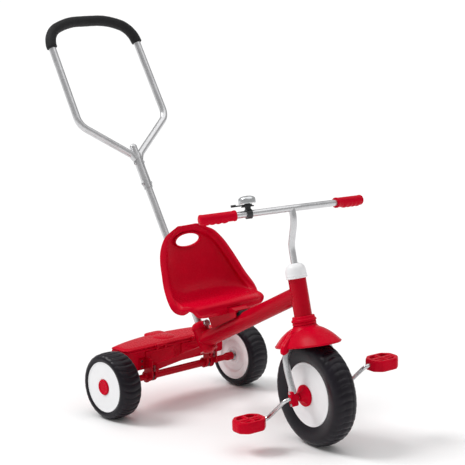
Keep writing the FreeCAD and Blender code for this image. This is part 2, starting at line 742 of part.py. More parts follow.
def hub_flange():
    """Left red hub cone: flange on the wheel face, tapering towards the fork."""
    start = FRONT_WIDTH / 2 - FRONT_RECESS + 8
    outline = [(2, AXLE_R), (2, 9.0), (start, 9.0), (start, 26), (start + 3, 26), (start + 4.4, 24.6),
               (start + 5.2, 21.5), (start + 8.5, 15.5), (start + 14, 11.5), (start + 19, 10.2),
               (start + 19, AXLE_R)]
    return turned(outline, Y_AXIS, X_AXIS)


def crank_axle():
    """One bent bar: right pedal spindle, crank, axle, crank, left pedal spindle."""
    left = [V(CRANK_BACK, PEDAL_Y + 34, CRANK_DROP), V(CRANK_BACK, 109, CRANK_DROP), V(0, 89.5, 0)]
    right = [V(-p.x, -p.y, -p.z) for p in reversed(left)]
    return place(bent_rod(left + right, [15, 15, 15, 15], AXLE_R), STEERED)


def pedal(side):
    """Block pedal with chamfered ends, four through windows and a spindle bore; level with the ground."""
    length, width, thick, chamfer = 78.0, 64.0, 27.0, 17.0
    outline = [V(-width / 2, chamfer - length / 2, 0), V(chamfer - width / 2, -length / 2, 0),
               V(width / 2 - chamfer, -length / 2, 0), V(width / 2, chamfer - length / 2, 0),
               V(width / 2, length / 2 - chamfer, 0), V(width / 2 - chamfer, length / 2, 0),
               V(chamfer - width / 2, length / 2, 0), V(-width / 2, length / 2 - chamfer, 0)]
    body = Part.Face(Part.makePolygon(outline + [outline[0]])).extrude(Z_AXIS * thick)
    body.translate(V(0, 0, -thick / 2))
    body = body.makeFillet(3, [e for e in body.Edges if abs(e.Vertexes[0].Z - e.Vertexes[1].Z) < 0.01])
    for x in (-17.5, 17.5):
        for y in (-16, 16):
            body = body.cut(block(V(x - 7, y - 11, -20), V(x + 7, y + 11, 20)))
    body = body.cut(rod(V(0, -60, 0), V(0, 60, 0), AXLE_R + RUNNING))
    spindle = V(side * CRANK_BACK, side * PEDAL_Y, side * CRANK_DROP)
    level = FreeCAD.Placement(spindle, FreeCAD.Rotation(Y_AXIS, STEER_TILT))
    return place(place(body, level), STEERED)


# ---- rear wheels --------------------------------------------------------------------------
REAR_RECESS = 2.2
REAR_MID = REAR_TRACK_OUT - REAR_WIDTH / 2


def rear_rim():
    """White rear wheel about the origin: a disc with a hub, outer side towards +Y."""
    face_y = REAR_WIDTH / 2 - REAR_RECESS
    seat = REAR_RIM_R - 4
    hub_out = REAR_WIDTH / 2 - 9.8
    outline = [(-face_y, AXLE_R + RUNNING), (-face_y, 20), (-face_y + 1, 50), (-face_y, REAR_RIM_R),
               (3.4 - face_y, REAR_RIM_R), (3.4 - face_y, seat), (face_y - 3.4, seat),
               (face_y - 3.4, REAR_RIM_R), (face_y, REAR_RIM_R), (face_y - 0.6, REAR_RIM_R - 5),
               (face_y - 0.6, 19.6), (face_y - 3.2, 19.6),
               (face_y - 3.2, 14), (hub_out, 14), (hub_out, AXLE_R + RUNNING)]
    return turned(outline, Y_AXIS, X_AXIS)


def rear_cap():
    """Red hub cap snapped into the wheel's outer face."""
    floor = REAR_WIDTH / 2 - REAR_RECESS - 3.2
    outline = [(floor, 14.2), (floor, 19.4), (floor + 4.6, 19.4), (floor + 5.8, 18), (floor + 6.2, 15.5),
               (floor + 5.2, 12.5), (floor + 5.0, 0), (floor + 3.0, 0), (floor + 3.0, 11.6)]
    return turned(outline, Y_AXIS, X_AXIS)


def rear_side(shape):
    """A wheel piece on the left rear wheel."""
    moved = shape.copy()
    moved.translate(REAR_AXLE + Y_AXIS * REAR_MID)
    return moved


# ---- seat ---------------------------------------------------------------------------------
# Sections from the front edge round to the top of the back: centre x and z, rim x, y and z.
SEAT_SECTIONS = [
    (214, 277, 188, 112, 269),
    (219, 296, 191, 119, 283),
    (203, 305, 181, 126, 289),
    (160, 305, 165, 134, 292),
    (118, 300, 141, 130, 311),
    (84, 305, 116, 121, 336),
    (62, 326, 98, 112, 364),
    (50, 360, 82, 103, 391),
    (43, 400, 68, 90, 418),
    (41, 432, 56, 73, 441),
    (41, 453, 49, 52, 456),
    (42, 466, 45, 36, 464),
]
SEAT_ACROSS = 12


def seat_point(section, t):
    """Point across a section: t runs from -1 at the right rim to +1 at the left rim."""
    cx, cz, rx, ry, rz = section
    bow = abs(t) ** 2.6
    return V(cx + (rx - cx) * bow, ry * math.sin(t * math.pi / 2 * 0.88) / math.sin(math.pi / 2 * 0.88),
             cz + (rz - cz) * bow)


def seat_surface(offset):
    """Grid of points on the seat, moved below the sitting surface by offset."""
    count = 2 * SEAT_ACROSS + 1
    rows = []
    for section in SEAT_SECTIONS:
        rows.append([seat_point(section, -1 + 2 * j / (count - 1)) for j in range(count)])
    if offset == 0:
        return rows
    moved = []
    last = len(rows) - 1
    for i, row in enumerate(rows):
        out = []
        for j, point in enumerate(row):
            along = rows[min(i + 1, last)][j] - rows[max(i - 1, 0)][j]
            across = row[min(j + 1, count - 1)] - row[max(j - 1, 0)]
            out.append(point + along.cross(across).normalize() * offset)
        moved.append(out)
    return moved


def seat_face(rows):
    surface = Part.BSplineSurface()
    surface.interpolate(rows)
    return surface.toShape()


def seat_solid():
    """Closed shell between the sitting surface and the surface under it."""
    upper = seat_face(seat_surface(0))
    lower = seat_face(seat_surface(SEAT_WALL))
    walls = [Part.makeRuledSurface(a, b) for a, b in zip(upper.Edges, lower.Edges)]
    shell = Part.makeShell([upper, lower] + walls)
    shell.sewShape()
    solid = Part.makeSolid(shell)
    if solid.Volume < 0:
        solid.reverse()
    return solid


def seat_shell():
    """Bucket seat of even wall, with a hand hole through the top of the back."""
    hole = Part.Face(Part.Wire([Part.Ellipse(V(0, 0, 0), 42, 17.5).toShape()])).extrude(Z_AXIS * 120)
    facing = FreeCAD.Rotation(Y_AXIS, 90).multiply(FreeCAD.Rotation(Z_AXIS, 90))
    shell = seat_solid().cut(place(hole, FreeCAD.Placement(V(-10, 0, 430), facing)))
    for x, y in SEAT_SCREWS:
        shell = shell.cut(rod(V(x, y, 280), V(x, y, 320), 2.25))
        shell = shell.cut(rod(V(x, y, SEAT_SCREW_Z), V(x, y, 320), 4.3))
    return shell


def seat_bracket():
    """Folded saddle under the seat: level top, two sides astride the main tube."""
    inner = 21.5
    outer = 24.0
    outline = [V(128, 0, 295.2), V(162, 0, 299.6), V(200, 0, 299.6), V(214, 0, 288), V(232, 0, 288),
               V(246, 0, 285), V(247, 0, 269), V(160.5, 0, 224), V(145, 0, 252)]
    solid = Part.Face(Part.makePolygon(outline + [outline[0]])).extrude(Y_AXIS * 2 * outer)
    solid.translate(V(0, -outer, 0))
    outline_in = [V(120, 0, 291.5), V(162, 0, 297), V(198, 0, 297), V(212, 0, 285.2), V(230, 0, 285.2),
                  V(260, 0, 276), V(260, 0, 240), V(120, 0, 180)]
    hollow = Part.Face(Part.makePolygon(outline_in + [outline_in[0]])).extrude(Y_AXIS * 2 * inner)
    hollow.translate(V(0, -inner, 0))
    saddle = solid.cut(hollow).cut(seat_solid())
    for x, y in SEAT_SCREWS:
        saddle = saddle.cut(rod(V(x, y, 280), V(x, y, 320), 2.25))
    return max(saddle.Solids, key=lambda piece: piece.Volume)


def seat_clamp():
    """Black adjuster block that grips the main tube inside the saddle and pokes out in front."""
    body = place(block(V(62, -15, 12), V(176, 15, 44)), MAIN)
    body = body.common(block(V(100, -30, 150), V(262, 30, 283.0)))
    body = body.cut(block(V(190, -30, 272), V(226, 30, 300))).cut(seat_bracket())
    body = body.cut(place(rod(V(0, 0, 0), V(300, 0, 0), MAIN_R + 0.3), MAIN))
    return max(body.Solids, key=lambda piece: piece.Volume)


def seat_screws():
    """Pan-head screws through the seat into the saddle."""
    screws = []
    for x, y in SEAT_SCREWS:
        head = rod(V(x, y, SEAT_SCREW_Z), V(x, y, SEAT_SCREW_Z + 3), 4.2)
        shank = rod(V(x, y, SEAT_SCREW_Z - 11), V(x, y, SEAT_SCREW_Z), 2.2)
        screws.append(head.fuse(shank).removeSplitter())
    return group(screws)


# ---- push handle --------------------------------------------------------------------------
def drilled(shape):
    """The two cross holes for the handle's bolts."""
    for s in BOLT_S:
        shape = shape.cut(rod(V(0, -30, s), V(0, 30, s), BOLT_R + 0.05))
    return shape


def push_pole():
    pole = pipe(V(0, 0, 119), V(0, 0, 652), POLE_R, POLE_R - TUBE_WALL)
    return place(drilled(pole), POLE)


def pole_plug():
    """Domed plug in the pole's open top."""
    dome = Part.makeSphere(POLE_R, V(0, 0, 652), Z_AXIS, 0, 90, 360)
    spigot = rod(V(0, 0, 636), V(0, 0, 652), POLE_R - TUBE_WALL)
    return place(dome.fuse(spigot).removeSplitter(), POLE)


def turn_insert():
    """Plug in the pole's foot, with the foot bearing, the neck and the arm that moves the link."""
    body = rod(V(0, 0, 117), V(0, 0, 119), POLE_R)
    body = body.fuse(rod(V(0, 0, 119), V(0, 0, 148), POLE_R - TUBE_WALL))
    body = body.fuse(rod(V(0, 0, 94.4), V(0, 0, 104), 12)).fuse(rod(V(0, 0, 100), V(0, 0, 118), 5.5))
    body = body.fuse(block(V(-4, 0, 102.5), V(4, LINK_ARM + 2.4, 106.5)))
    body = body.fuse(rod(V(0, LINK_ARM, 102.5), V(0, LINK_ARM, JOINT_S + 4.5), LINK_PIN_R))
    return place(body.removeSplitter(), POLE)


def loop_route():
    """The loop's path from one half sleeve round the top bar to the other, and its bend radii."""
    left = [V(0, 6, LOOP_APEX - 14), V(0, 14, LOOP_APEX), V(0, LOOP_HALF, LOOP_CORNER),
            V(0, LOOP_TOP_HALF, LOOP_SHOULDER), V(0, LOOP_CROWN_HALF, LOOP_TOP)]
    right = [V(p.x, -p.y, p.z) for p in reversed(left)]
    bends = [12, 42, 60, 190]
    return left + right, bends + bends[::-1]


def push_loop():
    """Bent loop whose two ends spread into half sleeves round the pole."""
    points, bends = loop_route()
    bar = bent_rod(points, bends, POLE_R)
    bore = bent_rod(points, bends, POLE_R - TUBE_WALL)
    sleeve = rod(V(0, 0, 535), V(0, 0, LOOP_APEX), 11.8)
    neck = rod(V(0, 0, 530), V(0, 0, 670), POLE_R)
    loop = bar.cut(bore).cut(sleeve).fuse(sleeve).cut(neck)
    slit = block(V(-20, -0.6, 530), V(20, 0.6, LOOP_APEX - 12))
    return place(drilled(loop.cut(slit)), POLE)


def handle_bolts():
    """Two bolts with nuts through the sleeve and the pole, from the right to the left."""
    parts = []
    for s in BOLT_S:
        shank = rod(V(0, -11.9, s), V(0, 16, s), BOLT_R)
        parts.append(shank.fuse(rod(V(0, -15.5, s), V(0, -11.9, s), 5)).removeSplitter())
        parts.append(hexagon(V(0, 11.9, s), Y_AXIS, 8, 4).cut(rod(V(0, 10, s), V(0, 20, s), BOLT_R)))
    return place(group(parts), POLE)


def foam_grip():
    """Soft sleeve over the top bar and both upper bends."""
    route, bends = loop_route()
    middle = route[3:-3]
    middle = [V(0, LOOP_TOP_HALF + 0.5, FOAM_START)] + middle + [V(0, -LOOP_TOP_HALF - 0.5, FOAM_START)]
    sleeve = bent_rod(middle, bends[2:-2], FOAM_R)
    return place(sleeve.cut(bent_rod(route, bends, POLE_R)), POLE)


# ---- write every piece --------------------------------------------------------------------
save("main_tube", main_tube())
save("head_tube", head_tube())
save("head_collar", head_collar())
save("head_cap", head_cap())
save("pole_socket", pole_socket())
save("socket_collar", socket_collar())
save("lock_button", lock_button())
save("link_rod", link_rod())

save("rear_axle_tube", axle_tube())
save("rear_axle", rear_axle())
save("rear_axle_nuts", axle_nuts())
save("rear_stays", rear_stays())
save("stay_bolts", stay_bolts())
save("axle_bushes", axle_bushes())
for side_name, turn_over in (("left", False), ("right", True)):
    for node, shape in (("axle_bracket", axle_bracket()), ("axle_clamp", axle_clamp())):
        save(node + "_" + side_name, mirrored(shape) if turn_over else shape)
    for node, shape in (("rear_tyre", wheel_tyre(REAR_R, REAR_WIDTH, REAR_RIM_R, REAR_RECESS, 13, 4)),
                        ("rear_rim", rear_rim()), ("rear_cap", rear_cap())):
        wheel_piece = rear_side(shape)
        save(node + "_" + side_name, mirrored(wheel_piece) if turn_over else wheel_piece)
    for node, shape in (("front_rim", front_rim()), ("hub_flange", hub_flange()),
                        ("axle_guard", axle_guard())):
        save(node + "_" + side_name, place(mirrored(shape) if turn_over else shape, STEERED))
    save("grip_" + side_name, place(grip_on_bar(turn_over), STEERED))
    save("pedal_" + side_name, pedal(-1 if turn_over else 1))

save("bin_tub", bin_tub())
save("bin_screws", bin_screws())
save("lid_hinge_pins", lid_hinge_pins())
save("bin_lid", bin_lid())

save("fork", fork())
save("steerer_tube", steerer_tube())
save("fender", fender())
save("steer_arm", steer_arm())
save("handlebar_stem", handlebar_stem())
save("handlebar", handlebar())
save("bell_clamp", bell_clamp())
save("bell_dome", bell_dome())
save("bell_lever", bell_lever())
save("guard_screws", guard_screws())

save("front_tyre", place(wheel_tyre(FRONT_R, FRONT_WIDTH, FRONT_RIM_R, FRONT_RECESS, 13, 4), STEERED))
save("crank_axle", crank_axle())

save("seat_shell", seat_shell())
save("seat_bracket", seat_bracket())
save("seat_clamp", seat_clamp())
save("seat_screws", seat_screws())

save("push_pole", push_pole())
save("pole_plug", pole_plug())
save("turn_insert", turn_insert())
save("push_loop", push_loop())
save("handle_bolts", handle_bolts())
save("foam_grip", foam_grip())
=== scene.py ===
import json
import math

import bpy
import bmesh
from mathutils import Matrix, Vector


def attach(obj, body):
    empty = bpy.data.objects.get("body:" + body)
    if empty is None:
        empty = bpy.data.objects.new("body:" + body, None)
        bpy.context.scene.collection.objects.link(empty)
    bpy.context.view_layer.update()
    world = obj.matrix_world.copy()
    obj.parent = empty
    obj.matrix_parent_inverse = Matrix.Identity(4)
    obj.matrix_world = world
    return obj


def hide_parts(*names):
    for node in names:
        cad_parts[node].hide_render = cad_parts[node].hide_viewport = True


# Children's tricycle: the visible surfaces, materials, light and camera.
# Pieces are drawn in millimetres in the sloping frames of the real thing, then scaled to metres.

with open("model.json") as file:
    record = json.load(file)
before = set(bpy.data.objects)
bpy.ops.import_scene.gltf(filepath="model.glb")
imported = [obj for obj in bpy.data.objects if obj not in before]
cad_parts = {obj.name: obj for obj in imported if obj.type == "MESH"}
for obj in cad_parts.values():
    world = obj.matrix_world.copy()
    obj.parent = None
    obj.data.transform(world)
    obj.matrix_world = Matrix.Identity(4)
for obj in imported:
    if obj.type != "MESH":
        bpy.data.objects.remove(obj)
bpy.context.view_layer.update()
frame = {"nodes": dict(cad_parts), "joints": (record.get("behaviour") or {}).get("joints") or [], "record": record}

MM = 0.001
ORIGIN_X = 127.6  # the datum lies this far behind the origin of the tricycle's own frame
JOINTS = {joint["name"]: joint for joint in frame["joints"]}
SIDES = (("left", 1), ("right", -1))

# Driving dimensions in millimetres.
FRONT_R, FRONT_WIDTH, FRONT_RIM_R = 127.0, 63.5, 77.6
REAR_R, REAR_WIDTH, REAR_RIM_R = 84.0, 63.3, 63.9
REAR_FACE_Y = 29.45  # outer face of a rear wheel's disc from the wheel's middle
MAIN_TUBE_R = 21.0
HEAD_TUBE_R = 21.5
FORK_LEG_X, FORK_LEG_Y = -6, 66
CRANK_X, PEDAL_Y, CRANK_Z = 61.6, 160.0, 41.0  # right-hand values take the opposite sign
PEDAL_LENGTH, PEDAL_WIDTH, PEDAL_HALF_DEPTH = 78.0, 64.0, 11.2
BAR_S = 438.0  # height of the handlebar along the steering axis
BAR_BEND_X, BAR_BEND_Y = 27, 18
BAR_END_X, BAR_END_Y = -11, 232.7
BELL_Y = 112
HAND_HOLE_Z, HAND_HOLE_HALF_Y, HAND_HOLE_HALF_Z = 430, 42, 17.5
LID_PIN_X, LID_PIN_Z, LID_KNUCKLE_R = 4, 160, 3.6


# ---- frames ----------------------------------------------
def local_frame(origin, x, y, z):
    """Matrix from millimetres in a sloping frame to metres in the tricycle's own frame."""
    matrix = Matrix.Identity(4)
    for column, axis in enumerate((x, y, z)):
        for row in range(3):
            matrix[row][column] = axis[row] * MM
    for row in range(3):
        matrix[row][3] = origin[row]
    return matrix


def along_axis(joint, sideways):
    up = Vector(JOINTS[joint]["axis"]).normalized()
    side = (sideways - up * sideways.dot(up)).normalized()
    return local_frame(JOINTS[joint]["pos_m"], side.cross(up), side, up)


def mirrored(place, sign):
    """The same frame, with its sideways axis turned over for the right-hand side."""
    return place @ Matrix.Diagonal((1, sign, 1, 1))


UP = Vector((0, 0, 1))
LEFTWARDS = Vector((0, 1, 0))
DATUM = local_frame((-ORIGIN_X * MM, 0, 0), (1, 0, 0), (0, 1, 0), (0, 0, 1))
STEERED = along_axis("steering", Vector(JOINTS["front_wheel_spin"]["axis"]))
HEAD = along_axis("steering", LEFTWARDS)
POLE = along_axis("handle_turn", LEFTWARDS)


# ---- mesh building ---------------------------------------
def new_object(name, data):
    """Object linked to the scene."""
    thing = bpy.data.objects.new(name, data)
    bpy.context.scene.collection.objects.link(thing)
    return thing


def applied_mesh(thing):
    """Mesh of an object with its modifiers or its curve settings carried out."""
    bpy.context.view_layer.update()
    return bpy.data.meshes.new_from_object(thing.evaluated_get(bpy.context.evaluated_depsgraph_get()))


def make(name, verts, faces, place, material, sharp=38.0):
    """One object from points in a local frame; corners sharper than the angle stay crisp."""
    mesh = bpy.data.meshes.new(name)
    mesh.from_pydata([place @ Vector(v) for v in verts], [], faces)
    shape = bmesh.new()
    shape.from_mesh(mesh)
    bmesh.ops.remove_doubles(shape, verts=shape.verts, dist=1e-6)
    bmesh.ops.recalc_face_normals(shape, faces=shape.faces)
    for face in shape.faces:
        face.smooth = True
    shape.to_mesh(mesh)
    shape.free()
    mesh.set_sharp_from_angle(angle=math.radians(sharp))
    mesh.materials.append(material)
    return new_object(name, mesh)


def finish_piece(piece, body, replaced=()):
    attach(piece, body)
    if replaced:
        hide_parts(*replaced)
    return piece


def join(parts):
    """Several (verts, faces) lists as one."""
    verts, faces = [], []
    for some_verts, some_faces in parts:
        start = len(verts)
        verts.extend(some_verts)
        faces.extend([tuple(i + start for i in face) for face in some_faces])
    return verts, faces


def grid_faces(rows, columns, wrap_rows, wrap_columns):
    faces = []
    for i in range(rows if wrap_rows else rows - 1):
        for j in range(columns if wrap_columns else columns - 1):
            a, b = i % rows, (i + 1) % rows
            c, d = j % columns, (j + 1) % columns
            faces.append((a * columns + c, a * columns + d, b * columns + d, b * columns + c))
    return faces


def rings(loops, cap=True, wrap=False):
    """Skin over a list of closed loops of points."""
    count = len(loops[0])
    verts = [v for loop in loops for v in loop]
    faces = grid_faces(len(loops), count, wrap, True)
    if cap and not wrap:
        faces.append(tuple(range(count)))
        faces.append(tuple(range(len(verts) - count, len(verts))))
    return verts, faces


def turns(count):
    """Evenly spaced angles of one full turn."""
    return [2 * math.pi * k / count for k in range(count)]


def circle(centre, side, other, radius, segments):
    """Closed loop of points round a centre."""
    return [centre + side * (radius * math.cos(a)) + other * (radius * math.sin(a))
            for a in turns(segments)]


def lathe(outline, segments, axis="y", shape=None):
    """Loops of a turned piece: outline is (along, radius); shape(angle, along, radius) may change it."""
    loops = []
    for along, radius in outline:
        loop = []
        for angle in turns(segments):
            r = shape(angle, along, radius) if shape else radius
            a, b = r * math.cos(angle), r * math.sin(angle)
            loop.append((a, along, b) if axis == "y" else (a, b, along))
        loops.append(loop)
    return loops


def turned(outline, segments=96, axis="y", shape=None, ring=False):
    """Turned piece; a ring's outline is closed, and never reaches the axis."""
    return rings(lathe(outline, segments, axis, shape), cap=not ring, wrap=ring)


def softened(points, radius, steps=4, closed=True):
    """Polyline with its corners rounded."""
    out = []
    count = len(points)
    for i, point in enumerate(points):
        corner = Vector(point)
        if not closed and i in (0, count - 1):
            out.append(corner)
            continue
        before, after = Vector(points[i - 1]), Vector(points[(i + 1) % count])
        reach = min(radius, (before - corner).length * 0.45, (after - corner).length * 0.45)
        start = corner + (before - corner).normalized() * reach
        end = corner + (after - corner).normalized() * reach
        for k in range(steps + 1):
            t = k / steps
            out.append(start * (1 - t) ** 2 + corner * 2 * t * (1 - t) + end * t ** 2)
    return out


def rounded(points, radius=0.8, steps=3):
    """Closed outline in a plane with its corners rounded."""
    return [(p.x, p.y) for p in softened([Vector((a, b, 0)) for a, b in points], radius, steps)]


def bent_path(points, radii, step=3.0):
    """Points along straight runs joined by arcs."""
    out = [Vector(points[0])]
    for i, radius in enumerate(radii):
        corner = Vector(points[i + 1])
        back = (Vector(points[i]) - corner).normalized()
        ahead = (Vector(points[i + 2]) - corner).normalized()
        half = back.angle(ahead) / 2
        reach = radius / math.tan(half)
        middle = (back + ahead).normalized()
        centre = corner + middle * (radius / math.sin(half))
        start = corner + back * reach - centre
        end = corner + ahead * reach - centre
        arc = start.angle(end)
        count = max(4, int(radius * arc / step))
        for k in range(count + 1):
            share = k / count
            mix = start * math.sin((1 - share) * arc) + end * math.sin(share * arc)
            out.append(centre + mix / math.sin(arc))
    out.append(Vector(points[-1]))
    dense = [out[0]]
    for point in out[1:]:
        base = dense[-1]
        gap = (point - base).length
        if gap < 1e-4:
            continue
        pieces = max(1, int(gap / (step * 3)))
        dense += [base.lerp(point, k / pieces) for k in range(1, pieces + 1)]
    return dense


def sweep(path, radius, segments, round_ends):
    """Round bar along a path; radius is a function of (distance, angle)."""
    lengths = [0.0]
    for a, b in zip(path, path[1:]):
        lengths.append(lengths[-1] + (b - a).length)
    total = lengths[-1]
    direction = (path[1] - path[0]).normalized()
    side = direction.orthogonal().normalized()
    loops = []
    for i, point in enumerate(path):
        ahead = path[min(i + 1, len(path) - 1)]
        behind = path[max(i - 1, 0)]
        tangent = (ahead - behind).normalized()
        side = (side - tangent * side.dot(tangent)).normalized()
        other = tangent.cross(side)
        loop = []
        for angle in turns(segments):
            r = radius(lengths[i], angle)
            near = min(lengths[i], total - lengths[i])
            if near < round_ends:
                r *= 0.55 + 0.45 * math.sqrt(max(0.0, 1 - (1 - near / round_ends) ** 2))
            loop.append(point + side * (r * math.cos(angle)) + other * (r * math.sin(angle)))
        loops.append(loop)
    return rings(loops)


def axes_along(direction):
    """A unit vector along a direction, and two square to it."""
    axis = Vector(direction).normalized()
    side = axis.orthogonal().normalized()
    return axis, side, axis.cross(side)


def rod(start, end, radius, segments=24, chamfer=0.5):
    """Short cylinder with softened ends."""
    start, end = Vector(start), Vector(end)
    length = (end - start).length
    axis, side, other = axes_along(end - start)
    edge = chamfer * 0.3
    outline = ((0, radius - chamfer), (edge, radius - edge), (chamfer, radius), (length - chamfer, radius),
               (length - edge, radius - edge), (length, radius - chamfer))
    return rings([circle(start + axis * along, side, other, r, segments) for along, r in outline])


def screw_head(base, axis, radius, height, slot_depth=0.9):
    """Pan head with a cross recess."""
    base = Vector(base)
    axis, side, other = axes_along(axis)
    segments = 32
    dome = ((1.0, 0.0), (1.0, 0.35), (0.93, 0.68), (0.75, 0.9), (0.55, 0.98), (0.5, 1.0))
    loops = [circle(base + axis * (lift * height), side, other, share * radius, segments)
             for share, lift in dome]
    for share, drop in ((0.44, 0.0), (0.3, 1.0), (0.1, 1.0)):
        loop = []
        for angle in turns(segments):
            cross = abs(math.cos(2 * angle)) ** 3
            r = share * radius * (0.45 + 0.65 * cross)
            outward = side * math.cos(angle) + other * math.sin(angle)
            loop.append(base + axis * (height - slot_depth * drop) + outward * r)
        loops.append(loop)
    return rings(loops)


def hex_head(base, axis, across, height):
    """Hexagon head or nut with a chamfered, slightly domed face."""
    base = Vector(base)
    axis, side, other = axes_along(axis)
    loops = []
    inner = across / 2
    for share, lift in ((1.0, 0.0), (1.0, 0.78), (0.93, 0.96), (0.7, 1.0), (0.25, 1.0)):
        loop = []
        for angle in turns(48):
            flat_r = inner / math.cos((angle % (math.pi / 3)) - math.pi / 6)
            r = flat_r if share == 1.0 else min(flat_r, inner * 1.08) * share
            outward = side * math.cos(angle) + other * math.sin(angle)
            loop.append(base + axis * (lift * height) + outward * r)
        loops.append(loop)
    return rings(loops)


# ---- materials -------------------------------------------
def put(node, settings):
    for label, value in settings.items():
        node.inputs[label].default_value = value


def surface(name, colour, rough, metallic=0.0, coat=0.0, mottle=0.06, grain=900.0, bump=0.05,
            wear=0.12, scale=35.0, stretch=(1, 1, 1), specular=0.5, cells=False):
    """Procedural finish: mottled colour, uneven gloss, fine grain and light handling marks."""
    material = bpy.data.materials.new(name)
    material.use_nodes = True
    nodes, links = material.node_tree.nodes, material.node_tree.links
    shader = nodes["Principled BSDF"]
    put(shader, {"Metallic": metallic, "Coat Weight": coat, "Coat Roughness": 0.12,
                 "Specular IOR Level": specular})
    place = nodes.new("ShaderNodeTexCoord")
    warp = nodes.new("ShaderNodeMapping")
    put(warp, {"Scale": stretch})
    links.new(place.outputs["Object"], warp.inputs["Vector"])

    broad = nodes.new("ShaderNodeTexNoise")
    put(broad, {"Scale": scale, "Detail": 6.0})
    links.new(warp.outputs["Vector"], broad.inputs["Vector"])
    tint = nodes.new("ShaderNodeValToRGB")
    dark, light = tint.color_ramp.elements
    dark.position, light.position = 0.3, 0.7
    dark.color = [c * (1 - mottle) for c in colour] + [1]
    light.color = [min(1.0, c * (1 + mottle)) for c in colour] + [1]
    links.new(broad.outputs["Fac"], tint.inputs["Fac"])
    links.new(tint.outputs["Color"], shader.inputs["Base Color"])

    marks = nodes.new("ShaderNodeTexNoise")
    put(marks, {"Scale": scale * 5, "Detail": 8.0, "Roughness": 0.7})
    links.new(warp.outputs["Vector"], marks.inputs["Vector"])
    gloss = nodes.new("ShaderNodeMapRange")
    put(gloss, {"From Min": 0.35, "From Max": 0.75, "To Min": max(0.02, rough - wear * 0.5),
                "To Max": min(1.0, rough + wear)})
    links.new(marks.outputs["Fac"], gloss.inputs["Value"])
    links.new(gloss.outputs["Result"], shader.inputs["Roughness"])

    if cells:
        fine = nodes.new("ShaderNodeTexVoronoi")
        put(fine, {"Scale": grain})
        height = fine.outputs["Distance"]
    else:
        fine = nodes.new("ShaderNodeTexNoise")
        put(fine, {"Scale": grain, "Detail": 3.0})
        height = fine.outputs["Fac"]
    links.new(warp.outputs["Vector"], fine.inputs["Vector"])
    relief = nodes.new("ShaderNodeBump")
    put(relief, {"Strength": bump, "Distance": 0.0006})
    links.new(height, relief.inputs["Height"])
    links.new(relief.outputs["Normal"], shader.inputs["Normal"])
    return material


RED_PLASTIC = surface("red_plastic_finish", (0.57, 0.0003, 0.017), 0.26, mottle=0.05, bump=0.08,
                      specular=0.05)
RED_PAINT = surface("red_paint_finish", (0.45, 0.0003, 0.012), 0.20, coat=0.03, mottle=0.04, grain=500,
                    bump=0.03, wear=0.05, specular=0.08)
SILVER = surface("silver_finish", (0.60, 0.60, 0.61), 0.30, metallic=0.9, mottle=0.07, grain=2600,
                 bump=0.10, wear=0.10)
WHITE = surface("white_finish", (0.86, 0.86, 0.87), 0.38, mottle=0.02, bump=0.10)
BLACK = surface("black_finish", (0.018, 0.018, 0.02), 0.38, mottle=0.15, bump=0.2)
TYRE = surface("tyre_finish", (0.008, 0.006, 0.010), 0.34, mottle=0.25, grain=1100, bump=0.2, wear=0.12,
               specular=0.22)
CHROME = surface("chrome_finish", (0.62, 0.63, 0.64), 0.26, metallic=1.0, mottle=0.04, grain=700, bump=0.04,
                 wear=0.14)
STEEL = surface("steel_finish", (0.50, 0.50, 0.51), 0.32, metallic=1.0, mottle=0.08, grain=1800, bump=0.2,
                stretch=(1, 1, 6))
DULL_SCREW = surface("dull_screw_finish", (0.20, 0.03, 0.035), 0.40, metallic=0.4, mottle=0.12, grain=1800,
                     bump=0.1, specular=0.2)
FOAM = surface("foam_finish", (0.009, 0.009, 0.010), 0.55, mottle=0.25, grain=1500, bump=0.7, wear=0.1,
               specular=0.25, cells=True)
GROUND = surface("ground_finish", (0.92, 0.92, 0.92), 0.7, mottle=0.01, grain=300, bump=0.02, scale=3.0,
                 specular=0.2)

SLOT_FINISH = {"red_paint": RED_PAINT, "red_plastic": RED_PLASTIC, "silver_paint": SILVER,
               "white_plastic": WHITE, "black_plastic": BLACK, "tyre": TYRE, "chrome": CHROME,
               "steel": STEEL, "foam": FOAM}
NODE_SLOT = {entry["node"]: entry["material_slot"] for entry in frame["record"]["subparts"]}
for node, carried in frame["nodes"].items():
    carried.data.materials.clear()
    carried.data.materials.append(SLOT_FINISH[NODE_SLOT[node]])
for node in ("lock_button", "pole_plug"):  # moulded parts with a silver finish
    frame["nodes"][node].data.materials[0] = SILVER

for node in ("axle_bracket_left", "axle_bracket_right", "axle_clamp_left", "axle_clamp_right", "rear_stays",
             "seat_bracket", "seat_clamp", "socket_collar",
             "lock_button", "steer_arm", "bell_lever", "bell_clamp", "rear_axle_nuts"):
    edge = frame["nodes"][node].modifiers.new("edge", "BEVEL")
    edge.width = 0.7 * MM
    edge.segments = 2
    edge.limit_method = "ANGLE"
    edge.angle_limit = math.radians(40)


